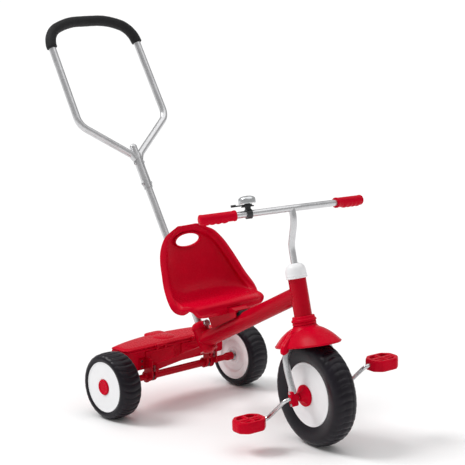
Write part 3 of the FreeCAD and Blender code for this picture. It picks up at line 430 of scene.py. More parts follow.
# ---- tyres -----------------------------------------------
def tyre(radius, width, rim_radius, recess, rib_count, shoulder):
    """Moulded tyre with shallow curved ribs across the tread and cupped smooth sidewalls.

    The outline is (sideways place, radius, how deeply the ribs are cut there).
    """
    half = width / 2
    side_r = radius - shoulder
    tread = half - shoulder
    crown = 1.6
    half_outline = []
    for k in range(9):
        t = k / 8
        half_outline.append((half - recess * (1 - t) ** 1.7, rim_radius + (side_r - rim_radius) * t, 0.0))
    for k in range(1, 15):
        angle = math.pi / 2 * k / 14
        y = tread + shoulder * math.cos(angle)
        half_outline.append((y, side_r + (shoulder - crown) * math.sin(angle), (k / 14) ** 1.2))
    for k in range(1, 9):
        y = tread * (1 - k / 8)
        half_outline.append((y, radius - crown * (y / tread) ** 2, 1.0))
    outline = half_outline + [(-y, r, cut) for y, r, cut in reversed(half_outline[:-1])]
    bead = half - recess - 3.4
    seat = rim_radius - 3.6
    outline += [(-bead, rim_radius, 0.0), (-bead, seat, 0.0), (bead, seat, 0.0), (bead, rim_radius, 0.0)]
    loops = []
    for y, r, weight in outline:
        loop = []
        for angle in turns(rib_count * 10):
            lean = 3.6 * (abs(y) / half) ** 2 + 0.25 * math.sin(angle * 3)
            wave = 0.5 + 0.5 * math.cos(rib_count * angle + lean)
            cut = weight * (1.4 * wave ** 6 + 0.7 * wave)
            loop.append(((r - cut) * math.cos(angle), y, (r - cut) * math.sin(angle)))
        loops.append(loop)
    return rings(loops, cap=False, wrap=True)


front_tyre = tyre(FRONT_R, FRONT_WIDTH, FRONT_RIM_R, 7.5, 42, 21.0)
finish_piece(make("front_tyre_moulded", *front_tyre, STEERED, TYRE, 60), "front_wheel",
             ["front_tyre"])


# ---- rear wheels -----------------------------------------
def rear_disc():
    """White wheel with a hub well; its outer face is at positive y."""
    back, face, rim = -REAR_FACE_Y, REAR_FACE_Y, REAR_RIM_R
    outline = [(back + 9, 5.2), (back + 9, 13), (back + 3, 14), (back + 3, 20), (back + 6, 24),
               (back + 6, 41), (back + 1.6, 46), (back + 1.4, 58), (back + 0.4, 60), (back, 62),
               (back + 0.6, rim), (back + 3.4, rim), (back + 3.4, 60.2), (face - 3.4, 60.2),
               (face - 3.4, rim), (face - 0.7, rim), (face, 62.6), (face - 0.5, 60.6),
               (face - 1.2, 59.4), (face - 0.9, 46), (face - 0.6, 24), (face - 0.8, 20.4),
               (face - 3.2, 19.6), (face - 3.2, 14), (21.8, 13.6), (21.8, 5.2)]
    return turned(rounded(outline, 0.9), 128, ring=True)


def rear_hub_cap():
    """Shallow cap with a raised ring round a dished middle, sunk in the disc's well."""
    floor = REAR_FACE_Y - 3.2
    outline = [(0.2, 0.2), (0.2, 19.3), (4.2, 19.3), (5.6, 18.2), (6.2, 16.2), (6.0, 14.6), (4.9, 12.9),
               (4.5, 11.0), (4.9, 5.0), (5.1, 0.2)]
    return turned(rounded([(floor + y, r) for y, r in outline], 0.7), 72)


for side, sign in SIDES:
    hub = JOINTS[side + "_rear_wheel_spin"]["pos_m"]
    place = local_frame(hub, (sign, 0, 0), (0, sign, 0), (0, 0, 1))
    body = side + "_rear_wheel"
    rear_tyre = tyre(REAR_R, REAR_WIDTH, REAR_RIM_R, 2.2, 30, 14.0)
    finish_piece(make("rear_tyre_moulded_" + side, *rear_tyre, place, TYRE, 60), body,
                 ["rear_tyre_" + side])
    finish_piece(make("rear_disc_" + side, *rear_disc(), place, WHITE, 50), body,
                 ["rear_rim_" + side])
    finish_piece(make("rear_hub_cap_" + side, *rear_hub_cap(), place, RED_PLASTIC, 50), body,
                 ["rear_cap_" + side])


# ---- front wheel -----------------------------------------
def front_disc():
    """One half of the front wheel: a shallow cone that rises to the hub."""
    outline = [(0.3, 9.2), (0.3, 12), (26.0, 13), (25.6, 40), (21.0, 70), (0.3, 70.6), (0.3, 73.6),
               (20.85, 73.6), (20.85, 77.4), (23.6, 77.5), (24.6, 76.8), (25.0, 75.6), (24.7, 74.2),
               (24.1, 73.2), (24.5, 70), (26.0, 60), (27.6, 50), (28.85, 40), (30.4, 33.5), (31.7, 29.5),
               (32.2, 27), (32.2, 9.2)]
    return turned(rounded(outline, 0.9), 144, ring=True)


def hub_cone():
    """Red cone on a round flange, with six flutes between the flange and the tip."""
    foot = 32.25

    def fluted(angle, along, radius):
        share = min(1.0, max(0.0, (along - 37.5) / 2.5)) * min(1.0, max(0.0, (51.0 - along) / 3.0))
        return radius * (1 - 0.19 * share * (0.5 - 0.5 * math.cos(6 * angle)) ** 0.7)

    outline = [(0, 9.1), (0, 25.4), (0.6, 26), (4.0, 26), (5.0, 25.2), (5.6, 23.6), (6.0, 22.4),
               (7.0, 20.6), (8.4, 18.6), (10.0, 16.6), (12.0, 14.4), (14.6, 12.4), (18.2, 10.8),
               (18.9, 9.8), (18.9, 5.1), (10, 5.1)]
    return turned([(foot + y, r) for y, r in outline], 96, ring=True, shape=fluted)


def bearing_block():
    """Upright block round the flattened fork end, with a boss for the crank axle through it."""
    outline = rounded([(-7.8, -18.4), (7.8, -18.4), (7.0, 17.6), (-7.0, 17.6)], 4.5, 6)
    loops = []
    for y, share in ((59.0, 0.90), (59.6, 0.96), (60.8, 1.0), (73.4, 1.0), (74.8, 0.965), (75.4, 0.90)):
        loops.append([(x * share, y, z * share) for x, z in outline])
    boss = [(54.2, 8.4), (54.8, 8.8), (58.0, 8.8), (59.6, 7.0), (75.2, 7.0), (76.8, 6.8), (77.5, 6.2),
            (77.5, 5.2), (54.2, 5.2)]
    return join([rings(loops), turned(boss, 48, ring=True)])


for side, sign in SIDES:
    place = mirrored(STEERED, sign)
    finish_piece(make("front_disc_" + side, *front_disc(), place, WHITE, 50), "front_wheel",
                 ["front_rim_" + side])
    finish_piece(make("hub_cone_" + side, *hub_cone(), place, RED_PLASTIC, 40), "front_wheel",
                 ["hub_flange_" + side])
for side, sign in SIDES:
    finish_piece(make("bearing_block_" + side, *bearing_block(), mirrored(STEERED, sign), RED_PLASTIC, 45),
                 "steerer", ["axle_guard_" + side])


# ---- mudguard --------------------------------------------
def mudguard():
    """Hood cut from a long egg shape, with a drawn-out nose and a rolled lower edge."""
    half = Vector((148.0, 91.0, 163.5))
    edge = 119.0
    wall = 2.8
    low = math.asin(edge / half.z)
    top = math.radians(84.5)

    def loop_at(elevation, shrink, drop=0.0):
        loop = []
        for angle in turns(144):
            c, s = math.cos(angle), math.sin(angle)
            tip = 1 + 0.035 * max(0.0, c) ** 8 + 0.01 * max(0.0, -c) ** 8
            reach = math.cos(elevation)
            x = (half.x - shrink) * reach * c * (tip if elevation < low + 0.25 else 1 + (tip - 1) * 0.4)
            y = (half.y - shrink) * reach * s
            loop.append((x, y, (half.z - shrink) * math.sin(elevation) - drop))
        return loop

    loops = [loop_at(top + (low - top) * (k / 32) ** 0.9, 0.0) for k in range(33)]
    rolled_edge = ((1.0, 0.3), (1.6, 1.0), (1.8, 1.9), (1.5, 2.8), (0.6, 3.3), (-0.6, 3.3), (-1.6, 2.8),
                   (-2.2, 1.8), (-2.6, 0.6))
    loops += [loop_at(low, -grow, drop) for grow, drop in rolled_edge]
    inner_low = low + 0.02
    loops += [loop_at(inner_low + (top - inner_low) * k / 12, wall) for k in range(13)]
    return rings(loops, cap=False, wrap=True)


def fork_sleeve(sign):
    """Sleeve that runs down a fork leg, with ridges along it."""
    leg_y = sign * FORK_LEG_Y
    path = bent_path([(FORK_LEG_X, leg_y, 102.5), (FORK_LEG_X, leg_y, 116), (FORK_LEG_X, sign * 30, 146.5)],
                     [20], 1.5)

    def swell(distance, angle):
        ridge = abs(math.cos(angle * 2)) ** 14
        return 8.6 + min(1.0, distance / 10) * 0.9 + 0.9 * ridge * min(1.0, distance / 6)

    return sweep(path, swell, 64, 6.0)


def crown_boss():
    """Flared neck that carries the mudguard up to the head collar."""
    outline = [(150.0, 20), (150.0, 38), (155.5, 33), (158.6, 30.2), (161.0, 28.8), (162.8, 28.3),
               (162.8, 20)]
    return turned(outline, 96, "z", ring=True)


guard_parts = [mudguard(), fork_sleeve(1), fork_sleeve(-1), crown_boss()]
finish_piece(make("mudguard", *join(guard_parts), STEERED, RED_PLASTIC, 60), "steerer",
             ["fender"])

# ---- head ------------------------------------------------
cap_outline = [(273.4, 9.7), (273.4, 24.3), (274.2, 25.8), (276.0, 26.2), (277.4, 25.4), (278.0, 25.0),
               (278.8, 25.6), (280.6, 26.0), (282.2, 25.6), (283.2, 25.1), (287, 25.1), (291, 24.9),
               (295, 24.3), (299, 23.2), (302, 21.6), (304.6, 19.2), (306.6, 16.4), (308.2, 13.6),
               (309.2, 11.2), (309.3, 8.6), (305.0, 8.5), (298, 8.5), (297, 13), (291, 17), (277, 17),
               (277, 9.7)]
finish_piece(make("head_dome", *turned(cap_outline, 96, "z", ring=True), HEAD, WHITE, 45), "frame",
             ["head_cap"])
collar_outline = [(163.2, 9.7), (163.2, 27.2), (164.2, 28.4), (165.5, 28.6), (168.6, 28.6), (169.6, 28.0),
                  (170.1, 27.5), (170.7, 28.6), (171.5, 29.8), (172.6, 30.0), (175.4, 30.0),
                  (176.6, 29.4), (177.2, 28.3), (178.0, 27.4), (180, 27.2), (182.6, 27.0), (183.8, 26.2),
                  (184.3, 24.8), (184.3, 21.6), (186, 19.8), (200, 19.8), (200, 9.7)]
collar = turned(collar_outline, 96, "z", ring=True)
finish_piece(make("head_bearing", *collar, HEAD, RED_PLASTIC, 45), "frame", ["head_collar"])


# ---- weld beads ------------------------------------------
def bead_path(origin, direction, radius, other_point, other_axis, other_radius, nearest):
    """Curve where a tube runs into another tube, in datum millimetres.

    Each line along the first tube's wall is cut with the other tube's cylinder.
    """
    direction = direction.normalized()
    side = LEFTWARDS
    up = direction.cross(side).normalized()
    other_axis = other_axis.normalized()
    path = []
    for angle in turns(120):
        start = origin + (side * math.cos(angle) + up * math.sin(angle)) * radius
        gap = start - other_point
        a_vec = direction - other_axis * direction.dot(other_axis)
        b_vec = gap - other_axis * gap.dot(other_axis)
        a, b, c = a_vec.dot(a_vec), 2 * a_vec.dot(b_vec), b_vec.dot(b_vec) - other_radius ** 2
        root = math.sqrt(max(b * b - 4 * a * c, 0.0))
        t = (-b - root) / (2 * a) if nearest else (-b + root) / (2 * a)
        path.append(start + direction * t)
    return path


def bead(path, radius):
    """Rippled closed weld bead."""
    loops = []
    count = len(path)
    side = (path[1] - path[-1]).orthogonal()
    for i, point in enumerate(path):
        tangent = (path[(i + 1) % count] - path[i - 1]).normalized()
        side = (side - tangent * side.dot(tangent)).normalized()
        r = radius * (1 + 0.10 * math.sin(i * 2.1) + 0.06 * math.sin(i * 0.7))
        loops.append(circle(point, side, tangent.cross(side), r, 12))
    return rings(loops, cap=False, wrap=True)


def datum(place, point):
    """A point of a sloping frame in datum millimetres."""
    world = place @ Vector(point)
    return (world / MM) + Vector((ORIGIN_X, 0, 0))


main_axis = Vector(JOINTS["seat_slide"]["axis"])
pole_axis = Vector(JOINTS["handle_turn"]["axis"])
head_axis = Vector(JOINTS["steering"]["axis"])
pole_foot = datum(POLE, (0, 0, 0))
head_foot = datum(HEAD, (0, 0, 0))
MAIN_X, MAIN_Z = 96.9, 176.5  # a point on the main tube's centre line
BEAD_R = 1.5
slope = main_axis.z / main_axis.x
lean = -pole_axis.x / pole_axis.z
joint_z = (MAIN_Z + slope * (pole_foot.x + lean * pole_foot.z - MAIN_X)) / (1 + slope * lean)
crossing = Vector((pole_foot.x - lean * (joint_z - pole_foot.z), 0, joint_z))
head_joint = bead_path(crossing, main_axis, MAIN_TUBE_R, head_foot, head_axis, HEAD_TUBE_R, True)
pole_joint = bead_path(crossing, main_axis, MAIN_TUBE_R, pole_foot, pole_axis, MAIN_TUBE_R, False)
beads = [bead(head_joint, BEAD_R), bead(pole_joint, BEAD_R)]
finish_piece(make("weld_beads", *join(beads), DATUM, RED_PAINT, 60), "frame")

# ---- seat ------------------------------------------------
# Sections from the front edge round to the top of the back: centre x and z, rim x, y and z.
SEAT_SECTIONS = [
    (213, 271, 187, 112, 263), (219, 296, 191, 119, 283), (203, 305, 181, 126, 289),
    (160, 305, 165, 134, 292), (118, 300, 141, 130, 311), (84, 305, 116, 121, 336),
    (62, 326, 98, 112, 364), (50, 360, 82, 103, 391), (43, 400, 68, 90, 418),
    (41, 432, 56, 73, 441), (41, 453, 49, 50, 456), (42, 466, 45, 28, 465)]
SEAT_ROUNDING = 0.1  # how far the sheet's corners are drawn in
SEAT_WALL = 4.6
FLAT_ARC = math.pi / 2 * 0.88  # how much of a half turn the sheet's width is spread over


def spline(values, t):
    """Smooth curve through evenly spaced values."""
    last = len(values) - 1
    i = min(int(t), last - 1)
    f = t - i
    p1, p2 = values[i], values[i + 1]
    p0 = values[i - 1] if i > 0 else 2 * p1 - p2
    p3 = values[i + 2] if i + 2 <= last else 2 * p2 - p1
    return 0.5 * (2 * p1 + (p2 - p0) * f + (2 * p0 - 5 * p1 + 4 * p2 - p3) * f * f
                  + (3 * p1 - p0 - 3 * p2 + p3) * f ** 3)


def seat_sheet(rows=100, columns=73):
    """Smooth points of the sitting surface and its normals."""
    last_section = len(SEAT_SECTIONS) - 1
    points = []
    for i in range(rows):
        b = -1 + 2 * i / (rows - 1)
        row = []
        for j in range(columns):
            a = -1 + 2 * j / (columns - 1)
            t = a * (1 - SEAT_ROUNDING * b ** 8)
            u = (b * (1 - SEAT_ROUNDING * a ** 8) + 1) / 2 * last_section
            cx, cz, rx, ry, rz = [spline(column, u) for column in zip(*SEAT_SECTIONS)]
            bow = abs(t) ** 2.6
            y = ry * math.sin(t * FLAT_ARC) / math.sin(FLAT_ARC)
            row.append(Vector((cx + (rx - cx) * bow, y, cz + (rz - cz) * bow)))
        points.append(row)
    normals = []
    margin = 7  # near the edges the normals are taken from this far in, where they are steady
    for i in range(rows):
        row = []
        for j in range(columns):
            inner_i = min(max(i, margin), rows - 1 - margin)
            inner_j = min(max(j, margin), columns - 1 - margin)
            along = points[min(i + 2, rows - 1)][inner_j] - points[max(i - 2, 0)][inner_j]
            across = points[inner_i][min(j + 2, columns - 1)] - points[inner_i][max(j - 2, 0)]
            row.append(across.cross(along).normalized())
        normals.append(row)
    return points, normals


def smooth_step(value, low, high):
    t = min(1.0, max(0.0, (value - low) / (high - low)))
    return t * t * (3 - 2 * t)


def seat_mesh():
    """Shell with a ridge inside its rim, a sunk pan and a turned-down edge."""
    points, normals = seat_sheet()
    rows, columns = len(points), len(points[0])
    border = [(0, j) for j in range(columns)] + [(i, columns - 1) for i in range(1, rows)]
    border += [(rows - 1, j) for j in range(columns - 2, -1, -1)] + [(i, 0) for i in range(rows - 2, 0, -1)]
    edge_points = [points[i][j] for i, j in border][::2]
    upper, lower_side = [], []
    for point_row, normal_row in zip(points, normals):
        for point, normal in zip(point_row, normal_row):
            gap = min((point - other).length for other in edge_points)
            ridge = math.exp(-((gap - 11.0) / 2.8) ** 2) * 2.8
            pan = smooth_step(gap, 12.5, 19.0)
            roll = (1 - smooth_step(gap, 0.0, 7.0)) * 1.2
            upper.append(point + normal * (ridge - pan * 3.4 - roll))
            lower_side.append(point - normal * (SEAT_WALL + pan * 2.6))
    top_count = len(upper)
    verts = upper + lower_side
    faces = []
    for i in range(rows - 1):
        for j in range(columns - 1):
            a = i * columns + j
            faces.append((a, a + 1, a + columns + 1, a + columns))
            b = a + top_count
            faces.append((b, b + columns, b + columns + 1, b + 1))
    count = len(border)
    loop_start = len(verts)
    steps = ((0.9, 0.9), (1.7, 2.6), (2.2, 5.0), (2.4, 9.0), (2.4, 13.0), (2.0, 15.4), (1.0, 16.2),
             (-0.2, 15.8), (-0.9, 14.0), (-1.0, 9.0), (-1.4, 6.0))
    for out, down in steps:
        for k, (i, j) in enumerate(border):
            point, normal = points[i][j], normals[i][j]
            before, after = border[k - 3], border[(k + 3) % count]
            tangent = (points[after[0]][after[1]] - points[before[0]][before[1]]).normalized()
            outward = tangent.cross(normal).normalized()
            inner = points[min(max(i, 8), rows - 9)][min(max(j, 8), columns - 9)]
            if outward.dot(point - inner) < 0:
                outward = -outward
            taper = 1 - 0.68 * smooth_step(i / (rows - 1), 0.7, 1.0)
            verts.append(point - normal * (1.2 + down * taper) + outward * (out * taper))
    hoops = [[i * columns + j for i, j in border]]
    hoops += [[loop_start + s * count + k for k in range(count)] for s in range(len(steps))]
    hoops.append([top_count + i * columns + j for i, j in border])
    for above, below in zip(hoops, hoops[1:]):
        for k in range(count):
            n = (k + 1) % count
            faces.append((above[k], above[n], below[n], below[k]))
    return verts, faces


def hand_hole_cutter():
    """Oval bar through the back of the seat."""
    oval = [(HAND_HOLE_HALF_Y * math.cos(a), HAND_HOLE_Z + HAND_HOLE_HALF_Z * math.sin(a))
            for a in turns(96)]
    return rings([[(x, y, z) for y, z in oval] for x in (0.0, 90.0)])


def back_x(y, z):
    """Where the seat's back lies at a sideways place and a height."""
    return min(SEAT_BACK, key=lambda point: (point.y - y) ** 2 + (point.z - z) ** 2).x


def hand_hole_lip():
    """Rounded bead round the edge of the hand hole."""
    loops = []
    for angle in turns(96):
        y = (HAND_HOLE_HALF_Y + 0.6) * math.cos(angle)
        z = HAND_HOLE_Z + (HAND_HOLE_HALF_Z + 0.6) * math.sin(angle)
        middle = Vector((back_x(y, z) - 1.5, y, z))
        out = Vector((0, math.cos(angle) / HAND_HOLE_HALF_Y, math.sin(angle) / HAND_HOLE_HALF_Z))
        loops.append([middle + out.normalized() * (2.6 * math.cos(t)) + Vector((5.4 * math.sin(t), 0, 0))
                      for t in turns(16)])
    return rings(loops, cap=False, wrap=True)


SEAT_BACK = [point for row in seat_sheet()[0][50:] for point in row]
seat = make("seat_bucket", *seat_mesh(), DATUM, RED_PLASTIC, 50)
cutter = make("hand_hole_cutter", *hand_hole_cutter(), DATUM, RED_PLASTIC)
hole = seat.modifiers.new("hole", "BOOLEAN")
hole.operation = "DIFFERENCE"
hole.object = cutter
hole.solver = "EXACT"
cut_mesh = applied_mesh(seat)
seat.modifiers.clear()
seat.data = cut_mesh
bpy.data.objects.remove(cutter)
finish_piece(seat, "seat", ["seat_shell"])

finish_piece(make("hand_hole_lip", *hand_hole_lip(), DATUM, RED_PLASTIC, 60), "seat")
screws = [screw_head((x, y, 299.6), (0, 0, 1), 3.8, 2.2) for x in (150, 190) for y in (-17, 17)]
finish_piece(make("seat_screw_heads", *join(screws), DATUM, RED_PLASTIC, 50), "seat",
             ["seat_screws"])


# ---- bin -------------------------------------------------
def bin_loop(z, grow, recess=0.0):
    """Plan of the bin at one height; recess pushes the middle of the front wall in."""
    front, side, side_back, back = -6.0 + grow, 166.0 + grow, -60.0, -90.0 - grow
    corner = 14.0
    corner_x, corner_y = front - corner, side - corner
    outline = []
    for k in range(61):
        y = -corner_y + 2 * corner_y * k / 60
        push = recess * (smooth_step(11.5 - abs(y), 0.0, 3.0))
        outline.append((front - push, y, z))
    for k in range(1, 9):
        angle = math.pi / 2 * k / 8
        outline.append((corner_x + corner * math.cos(angle), corner_y + corner * math.sin(angle), z))
    outline += [(corner_x - (corner_x - side_back) * k / 6, side, z) for k in range(1, 7)]
    sag = side_back - back
    bow = (side * side + sag * sag) / (2 * sag)
    for k in range(1, 60):
        y = side - 2 * side * k / 60
        outline.append((back + bow - math.sqrt(bow * bow - y * y), y, z))
    outline += [(side_back + (corner_x - side_back) * k / 6, -side, z) for k in range(6)]
    for k in range(8):
        angle = math.pi / 2 * k / 8
        outline.append((corner_x + corner * math.sin(angle), -corner_y - corner * math.cos(angle), z))
    return outline


def panel(y_low, y_high, z_low, z_high, x_base, x_face, radius, soft=1.6):
    """Raised panel with rounded corners and a softened edge, facing forwards."""
    corners = []
    for cy, cz, start in ((y_high - radius, z_high - radius, 0), (y_low + radius, z_high - radius, 1),
                          (y_low + radius, z_low + radius, 2), (y_high - radius, z_low + radius, 3)):
        for k in range(9):
            angle = math.pi / 2 * (start + k / 8)
            corners.append((cy, cz, math.cos(angle), math.sin(angle)))
    loops = []
    for x, inset in ((x_base, 0.0), (x_face - soft, 0.0), (x_face - soft * 0.4, soft * 0.25),
                     (x_face - soft * 0.08, soft * 0.7), (x_face, soft * 1.3)):
        loops.append([(x, cy + c * (radius - inset), cz + s * (radius - inset)) for cy, cz, c, s in corners])
    return rings(loops)


def knuckle(low, width):
    """Round hinge knuckle on the lid's pin line."""
    return rod((LID_PIN_X, low, LID_PIN_Z), (LID_PIN_X, low + width, LID_PIN_Z), LID_KNUCKLE_R)


TUB_KNUCKLE, LID_KNUCKLE = 5.7, 20  # widths of the hinge knuckles
# Heights with how far the wall stands out there, and how far the front's middle is pushed in.
tub_rows = [(104.5, -16, 0), (102.2, -8, 0), (101.4, -4, 9), (102.0, -1.6, 9), (104.0, -0.3, 9), (108, 0, 9),
            (128, 0, 9), (144, 0, 9), (147.5, 0.2, 4), (149.0, 0.6, 0), (149.5, 3.4, 0), (150.2, 4.5, 0),
            (153.6, 4.6, 0), (155.0, 4.0, 0), (155.5, 2.6, 0), (155.4, -0.6, 0), (154.2, -2.2, 0),
            (148.0, -2.6, 0), (128.0, -2.6, 9), (107.0, -2.6, 9), (104.4, -5.0, 9)]
tub_parts = [rings([bin_loop(z, grow, recess) for z, grow, recess in tub_rows])]
for low, high in ((-106, -13), (13, 106)):
    tub_parts += [panel(low, high, 103, 148.6, -8, -2.0, 5),
                  panel(low + 14, high - 14, 110, 142, -3, -1.4, 6, 0.6)]
for sign in (-1, 1):
    for start in (44, 70.3):
        low = min(sign * start, sign * (start + TUB_KNUCKLE))
        tub_parts.append(knuckle(low, TUB_KNUCKLE))
        tub_parts.append(panel(low, low + TUB_KNUCKLE, 150.5, LID_PIN_Z, -4, 6.6, 1.5, 0.5))
finish_piece(make("bin_tub_moulded", *join(tub_parts), DATUM, RED_PLASTIC, 45), "frame",
             ["bin_tub"])

lid_rows = [(156.6, 0.6), (156.0, 2.6), (156.2, 3.8), (157.2, 4.6), (158.8, 4.7), (160.0, 4.2), (160.7, 3.0),
            (160.7, 1.4), (159.9, 0.0), (159.8, -1.6), (160.8, -3.2), (161.9, -4.8), (162.3, -7.4),
            (162.5, -14.0)]

def finger_tab():
    """Rounded tab at the lid's back edge, a little domed, turned down at its tip."""
    loops = []
    for share, z in ((0.9, 156.4), (1.0, 157.0), (1.0, 159.4), (0.97, 161.0), (0.86, 162.2), (0.6, 162.9),
                     (0.2, 163.1)):
        loop = []
        for angle in turns(48):
            c, s = math.cos(angle), math.sin(angle)
            power = 2 / 3.6
            loop.append((-95 + 16.6 * share * math.copysign(abs(c) ** power, c),
                         29.5 * share * math.copysign(abs(s) ** power, s), z))
        loops.append(loop)
    return rings(loops)


def lid_hump():
    """Domed swelling across the middle of the lid."""
    loops = []
    for share, z in ((1.0, 160.6), (0.985, 161.8), (0.94, 163.0), (0.86, 164.0), (0.7, 164.8), (0.45, 165.4),
                     (0.15, 165.6)):
        loops.append([(-50 + 28 * share * math.cos(a), -7 + 30 * share * math.sin(a), z)
                      for a in turns(64)])
    return rings(loops)


lid_parts = [rings([bin_loop(z, grow) for z, grow in lid_rows]), finger_tab(), lid_hump()]
for sign in (-1, 1):
    low = min(sign * 50, sign * (50 + LID_KNUCKLE))
    lid_parts.append(knuckle(low, LID_KNUCKLE))
    lid_parts.append(panel(low, low + LID_KNUCKLE, 158.6, 162.3, -6, LID_PIN_X, 1.2, 0.5))
finish_piece(make("bin_lid_moulded", *join(lid_parts), DATUM, RED_PLASTIC, 45), "lid",
             ["bin_lid"])
heads = [screw_head((-3.5, sign * 119, z), (1, 0, 0), 3.8, 2.4) for sign in (-1, 1) for z in (111, 126)]
finish_piece(make("bin_screw_heads", *join(heads), DATUM, DULL_SCREW, 50), "frame", ["bin_screws"])


# ---- pedals ----------------------------------------------
def pedal_outline(inset):
    """Eight-sided tread outline with soft corners, drawn in by the inset."""
    x, y, chamfer = PEDAL_WIDTH / 2, PEDAL_LENGTH / 2, 17.0
    raw = [(-x, chamfer - y), (chamfer - x, -y), (x - chamfer, -y), (x, chamfer - y), (x, y - chamfer),
           (x - chamfer, y), (chamfer - x, y), (-x, y - chamfer)]
    return [(a * (1 - inset / x), b * (1 - inset / y)) for a, b in rounded(raw, 6.0, 8)]


def window(x, y, half_x, half_y, radius):
    """Rectangle with soft corners."""
    raw = [(x - half_x, y - half_y), (x + half_x, y - half_y), (x + half_x, y + half_y),
           (x - half_x, y + half_y)]
    return rounded(raw, radius, 4)


def slab(outlines, z, thickness, bevel):
    """Flat slab from an outline with holes, with rounded edges, centred on a height."""
    curve = bpy.data.curves.new("slab", "CURVE")
    curve.dimensions = "2D"
    curve.fill_mode = "BOTH"
    curve.extrude = thickness / 2 - bevel
    curve.bevel_depth = bevel
    curve.bevel_resolution = 3
    for outline in outlines:
        edge = curve.splines.new("POLY")
        edge.points.add(len(outline) - 1)
        for point, (x, y) in zip(edge.points, outline):
            point.co = (x, y, 0, 1)
        edge.use_cyclic_u = True
    holder = new_object("slab", curve)
    mesh = applied_mesh(holder)
    verts = [(v.co.x, v.co.y, v.co.z + z) for v in mesh.vertices]
    faces = [tuple(p.vertices) for p in mesh.polygons]
    bpy.data.objects.remove(holder)
    return verts, faces


def pedal():
    """Block with four windows through it, and on each face a raised rim and a ladder of bars."""
    windows = [window(x, y, 7.6, 11.4, 3.0) for x in (-17.0, 17.0) for y in (-15.5, 15.5)]
    parts = [slab([pedal_outline(2.2)] + windows, 0, 23.0, 2.0)]
    for face in (1, -1):
        bars_z = face * PEDAL_HALF_DEPTH
        parts.append(slab([pedal_outline(2.6), pedal_outline(7.5)], face * 11.1, 4.6, 1.2))
        parts.append(slab([window(0, 0, 2.6, 34, 1.0)], bars_z, 3.6, 1.0))
        for y, reach in ((-29.5, 20), (0.0, 27), (29.5, 20)):
            parts.append(slab([window(0, y, reach, 2.2, 1.0)], bars_z, 3.6, 1.0))
    parts.append(rod((0, -38.6, 0), (0, 38.6, 0), 8.6, 40))
    return join(parts)


for side, sign in SIDES:
    spindle = STEERED @ Vector((sign * CRANK_X, sign * PEDAL_Y, sign * CRANK_Z))
    spin = Vector(JOINTS[side + "_pedal_spin"]["axis"]).normalized()
    up = (UP - spin * UP.dot(spin)).normalized()
    level = local_frame(spindle, spin.cross(up), spin, up)
    finish_piece(make("pedal_moulded_" + side, *pedal(), level, RED_PLASTIC, 40), side + "_pedal",
                 ["pedal_" + side])

# ---- handlebar -------------------------------------------
# The bar is turned by a small angle about its own middle, as it was clamped.
MIDDLE = Matrix.Translation((BAR_BEND_X, 0, BAR_S))
BAR = STEERED @ MIDDLE @ Matrix.Rotation(math.radians(-1.9), 4, "X") @ MIDDLE.inverted()


def bar_direction(sign):
    """Along the handlebar's straight end part, outwards."""
    return Vector((BAR_END_X - BAR_BEND_X, sign * (BAR_END_Y - BAR_BEND_Y), 0)).normalized()


def grip_radius(along, angle):
    """Collar at the inner end, finger waves underneath and a rounded outer end."""
    if along > 88:
        return 12.4 * math.sqrt(max(0.12, 1 - ((along - 88) / 4.4) ** 2))
    if along > 84:
        return 12.4
    if along <= 5.2:
        return 12.7 if 0.6 <= along <= 4.4 else 12.3
    if 21 <= along <= 82:
        wave = abs(math.sin(math.pi * (along - 21) / 15.25)) ** 0.7
        return 11.9 + max(0.0, -math.cos(angle)) ** 1.5 * (0.4 + 2.2 * wave)
    return 11.9


def grip(sign):
    out = bar_direction(sign)
    inner = Vector((BAR_END_X, sign * BAR_END_Y, BAR_S)) - out * 89
    back = UP.cross(out).normalized()
    stations = [0, 0.6, 1.6, 3.2, 4.4, 5.2, 7] + [9 + 1.4 * k for k in range(55)]
    stations += [87, 88.5, 90, 91.2, 91.9]
    loops = []
    for along in stations:
        loop = []
        for angle in turns(48):
            r = grip_radius(along, angle)
            loop.append(inner + out * along + back * (r * math.sin(angle)) + UP * (r * math.cos(angle)))
        loops.append(loop)
    return rings(loops)


for side, sign in SIDES:
    finish_piece(make("hand_grip_" + side, *grip(sign), BAR, RED_PLASTIC, 50), "steerer",
                 ["grip_" + side])

# ---- bell ------------------------------------------------
right = bar_direction(-1)
bell_base = Vector((BAR_BEND_X, -BAR_BEND_Y, BAR_S)) + right * ((BELL_Y - BAR_BEND_Y) / abs(right.y))
dome = [(24.2, 19.4), (24.0, 20.4), (24.6, 20.8), (26.0, 20.7), (32.0, 20.6), (34.8, 20.0), (37.0, 18.7),
        (39.0, 16.4), (40.5, 13.2), (41.5, 9.0), (42.0, 4.5), (42.1, 0.3), (40.6, 0.3), (40.0, 8.0),
        (38.6, 12.8), (36.8, 16.0), (34.0, 18.6), (30.0, 19.4), (26.0, 19.4)]
bell_place = BAR @ Matrix.Translation(bell_base)
finish_piece(make("bell_cup", *turned(dome, 80, "z"), bell_place, CHROME, 40), "steerer",
             ["bell_dome"])

# ---- foam sleeve -----------------------------------------
crown = [(0, 140.2, 947.6), (0, 139.7, 992.0), (0, 64.0, 1022.5), (0, -64.0, 1022.5), (0, -139.7, 992.0),
         (0, -140.2, 947.6)]
foam_path = bent_path(crown, [60, 190, 190, 60], 2.0)


def foam_swell(distance, angle):
    """Slightly uneven thickness of a soft sleeve."""
    broad = 0.12 * math.sin(distance * 0.11 + 2 * math.sin(angle))
    return 14.0 + broad + 0.08 * math.sin(distance * 0.31 + angle)


foam = make("foam_sleeve", *sweep(foam_path, foam_swell, 40, 2.4), POLE, FOAM, 60)
finish_piece(foam, "push_handle", ["foam_grip"])

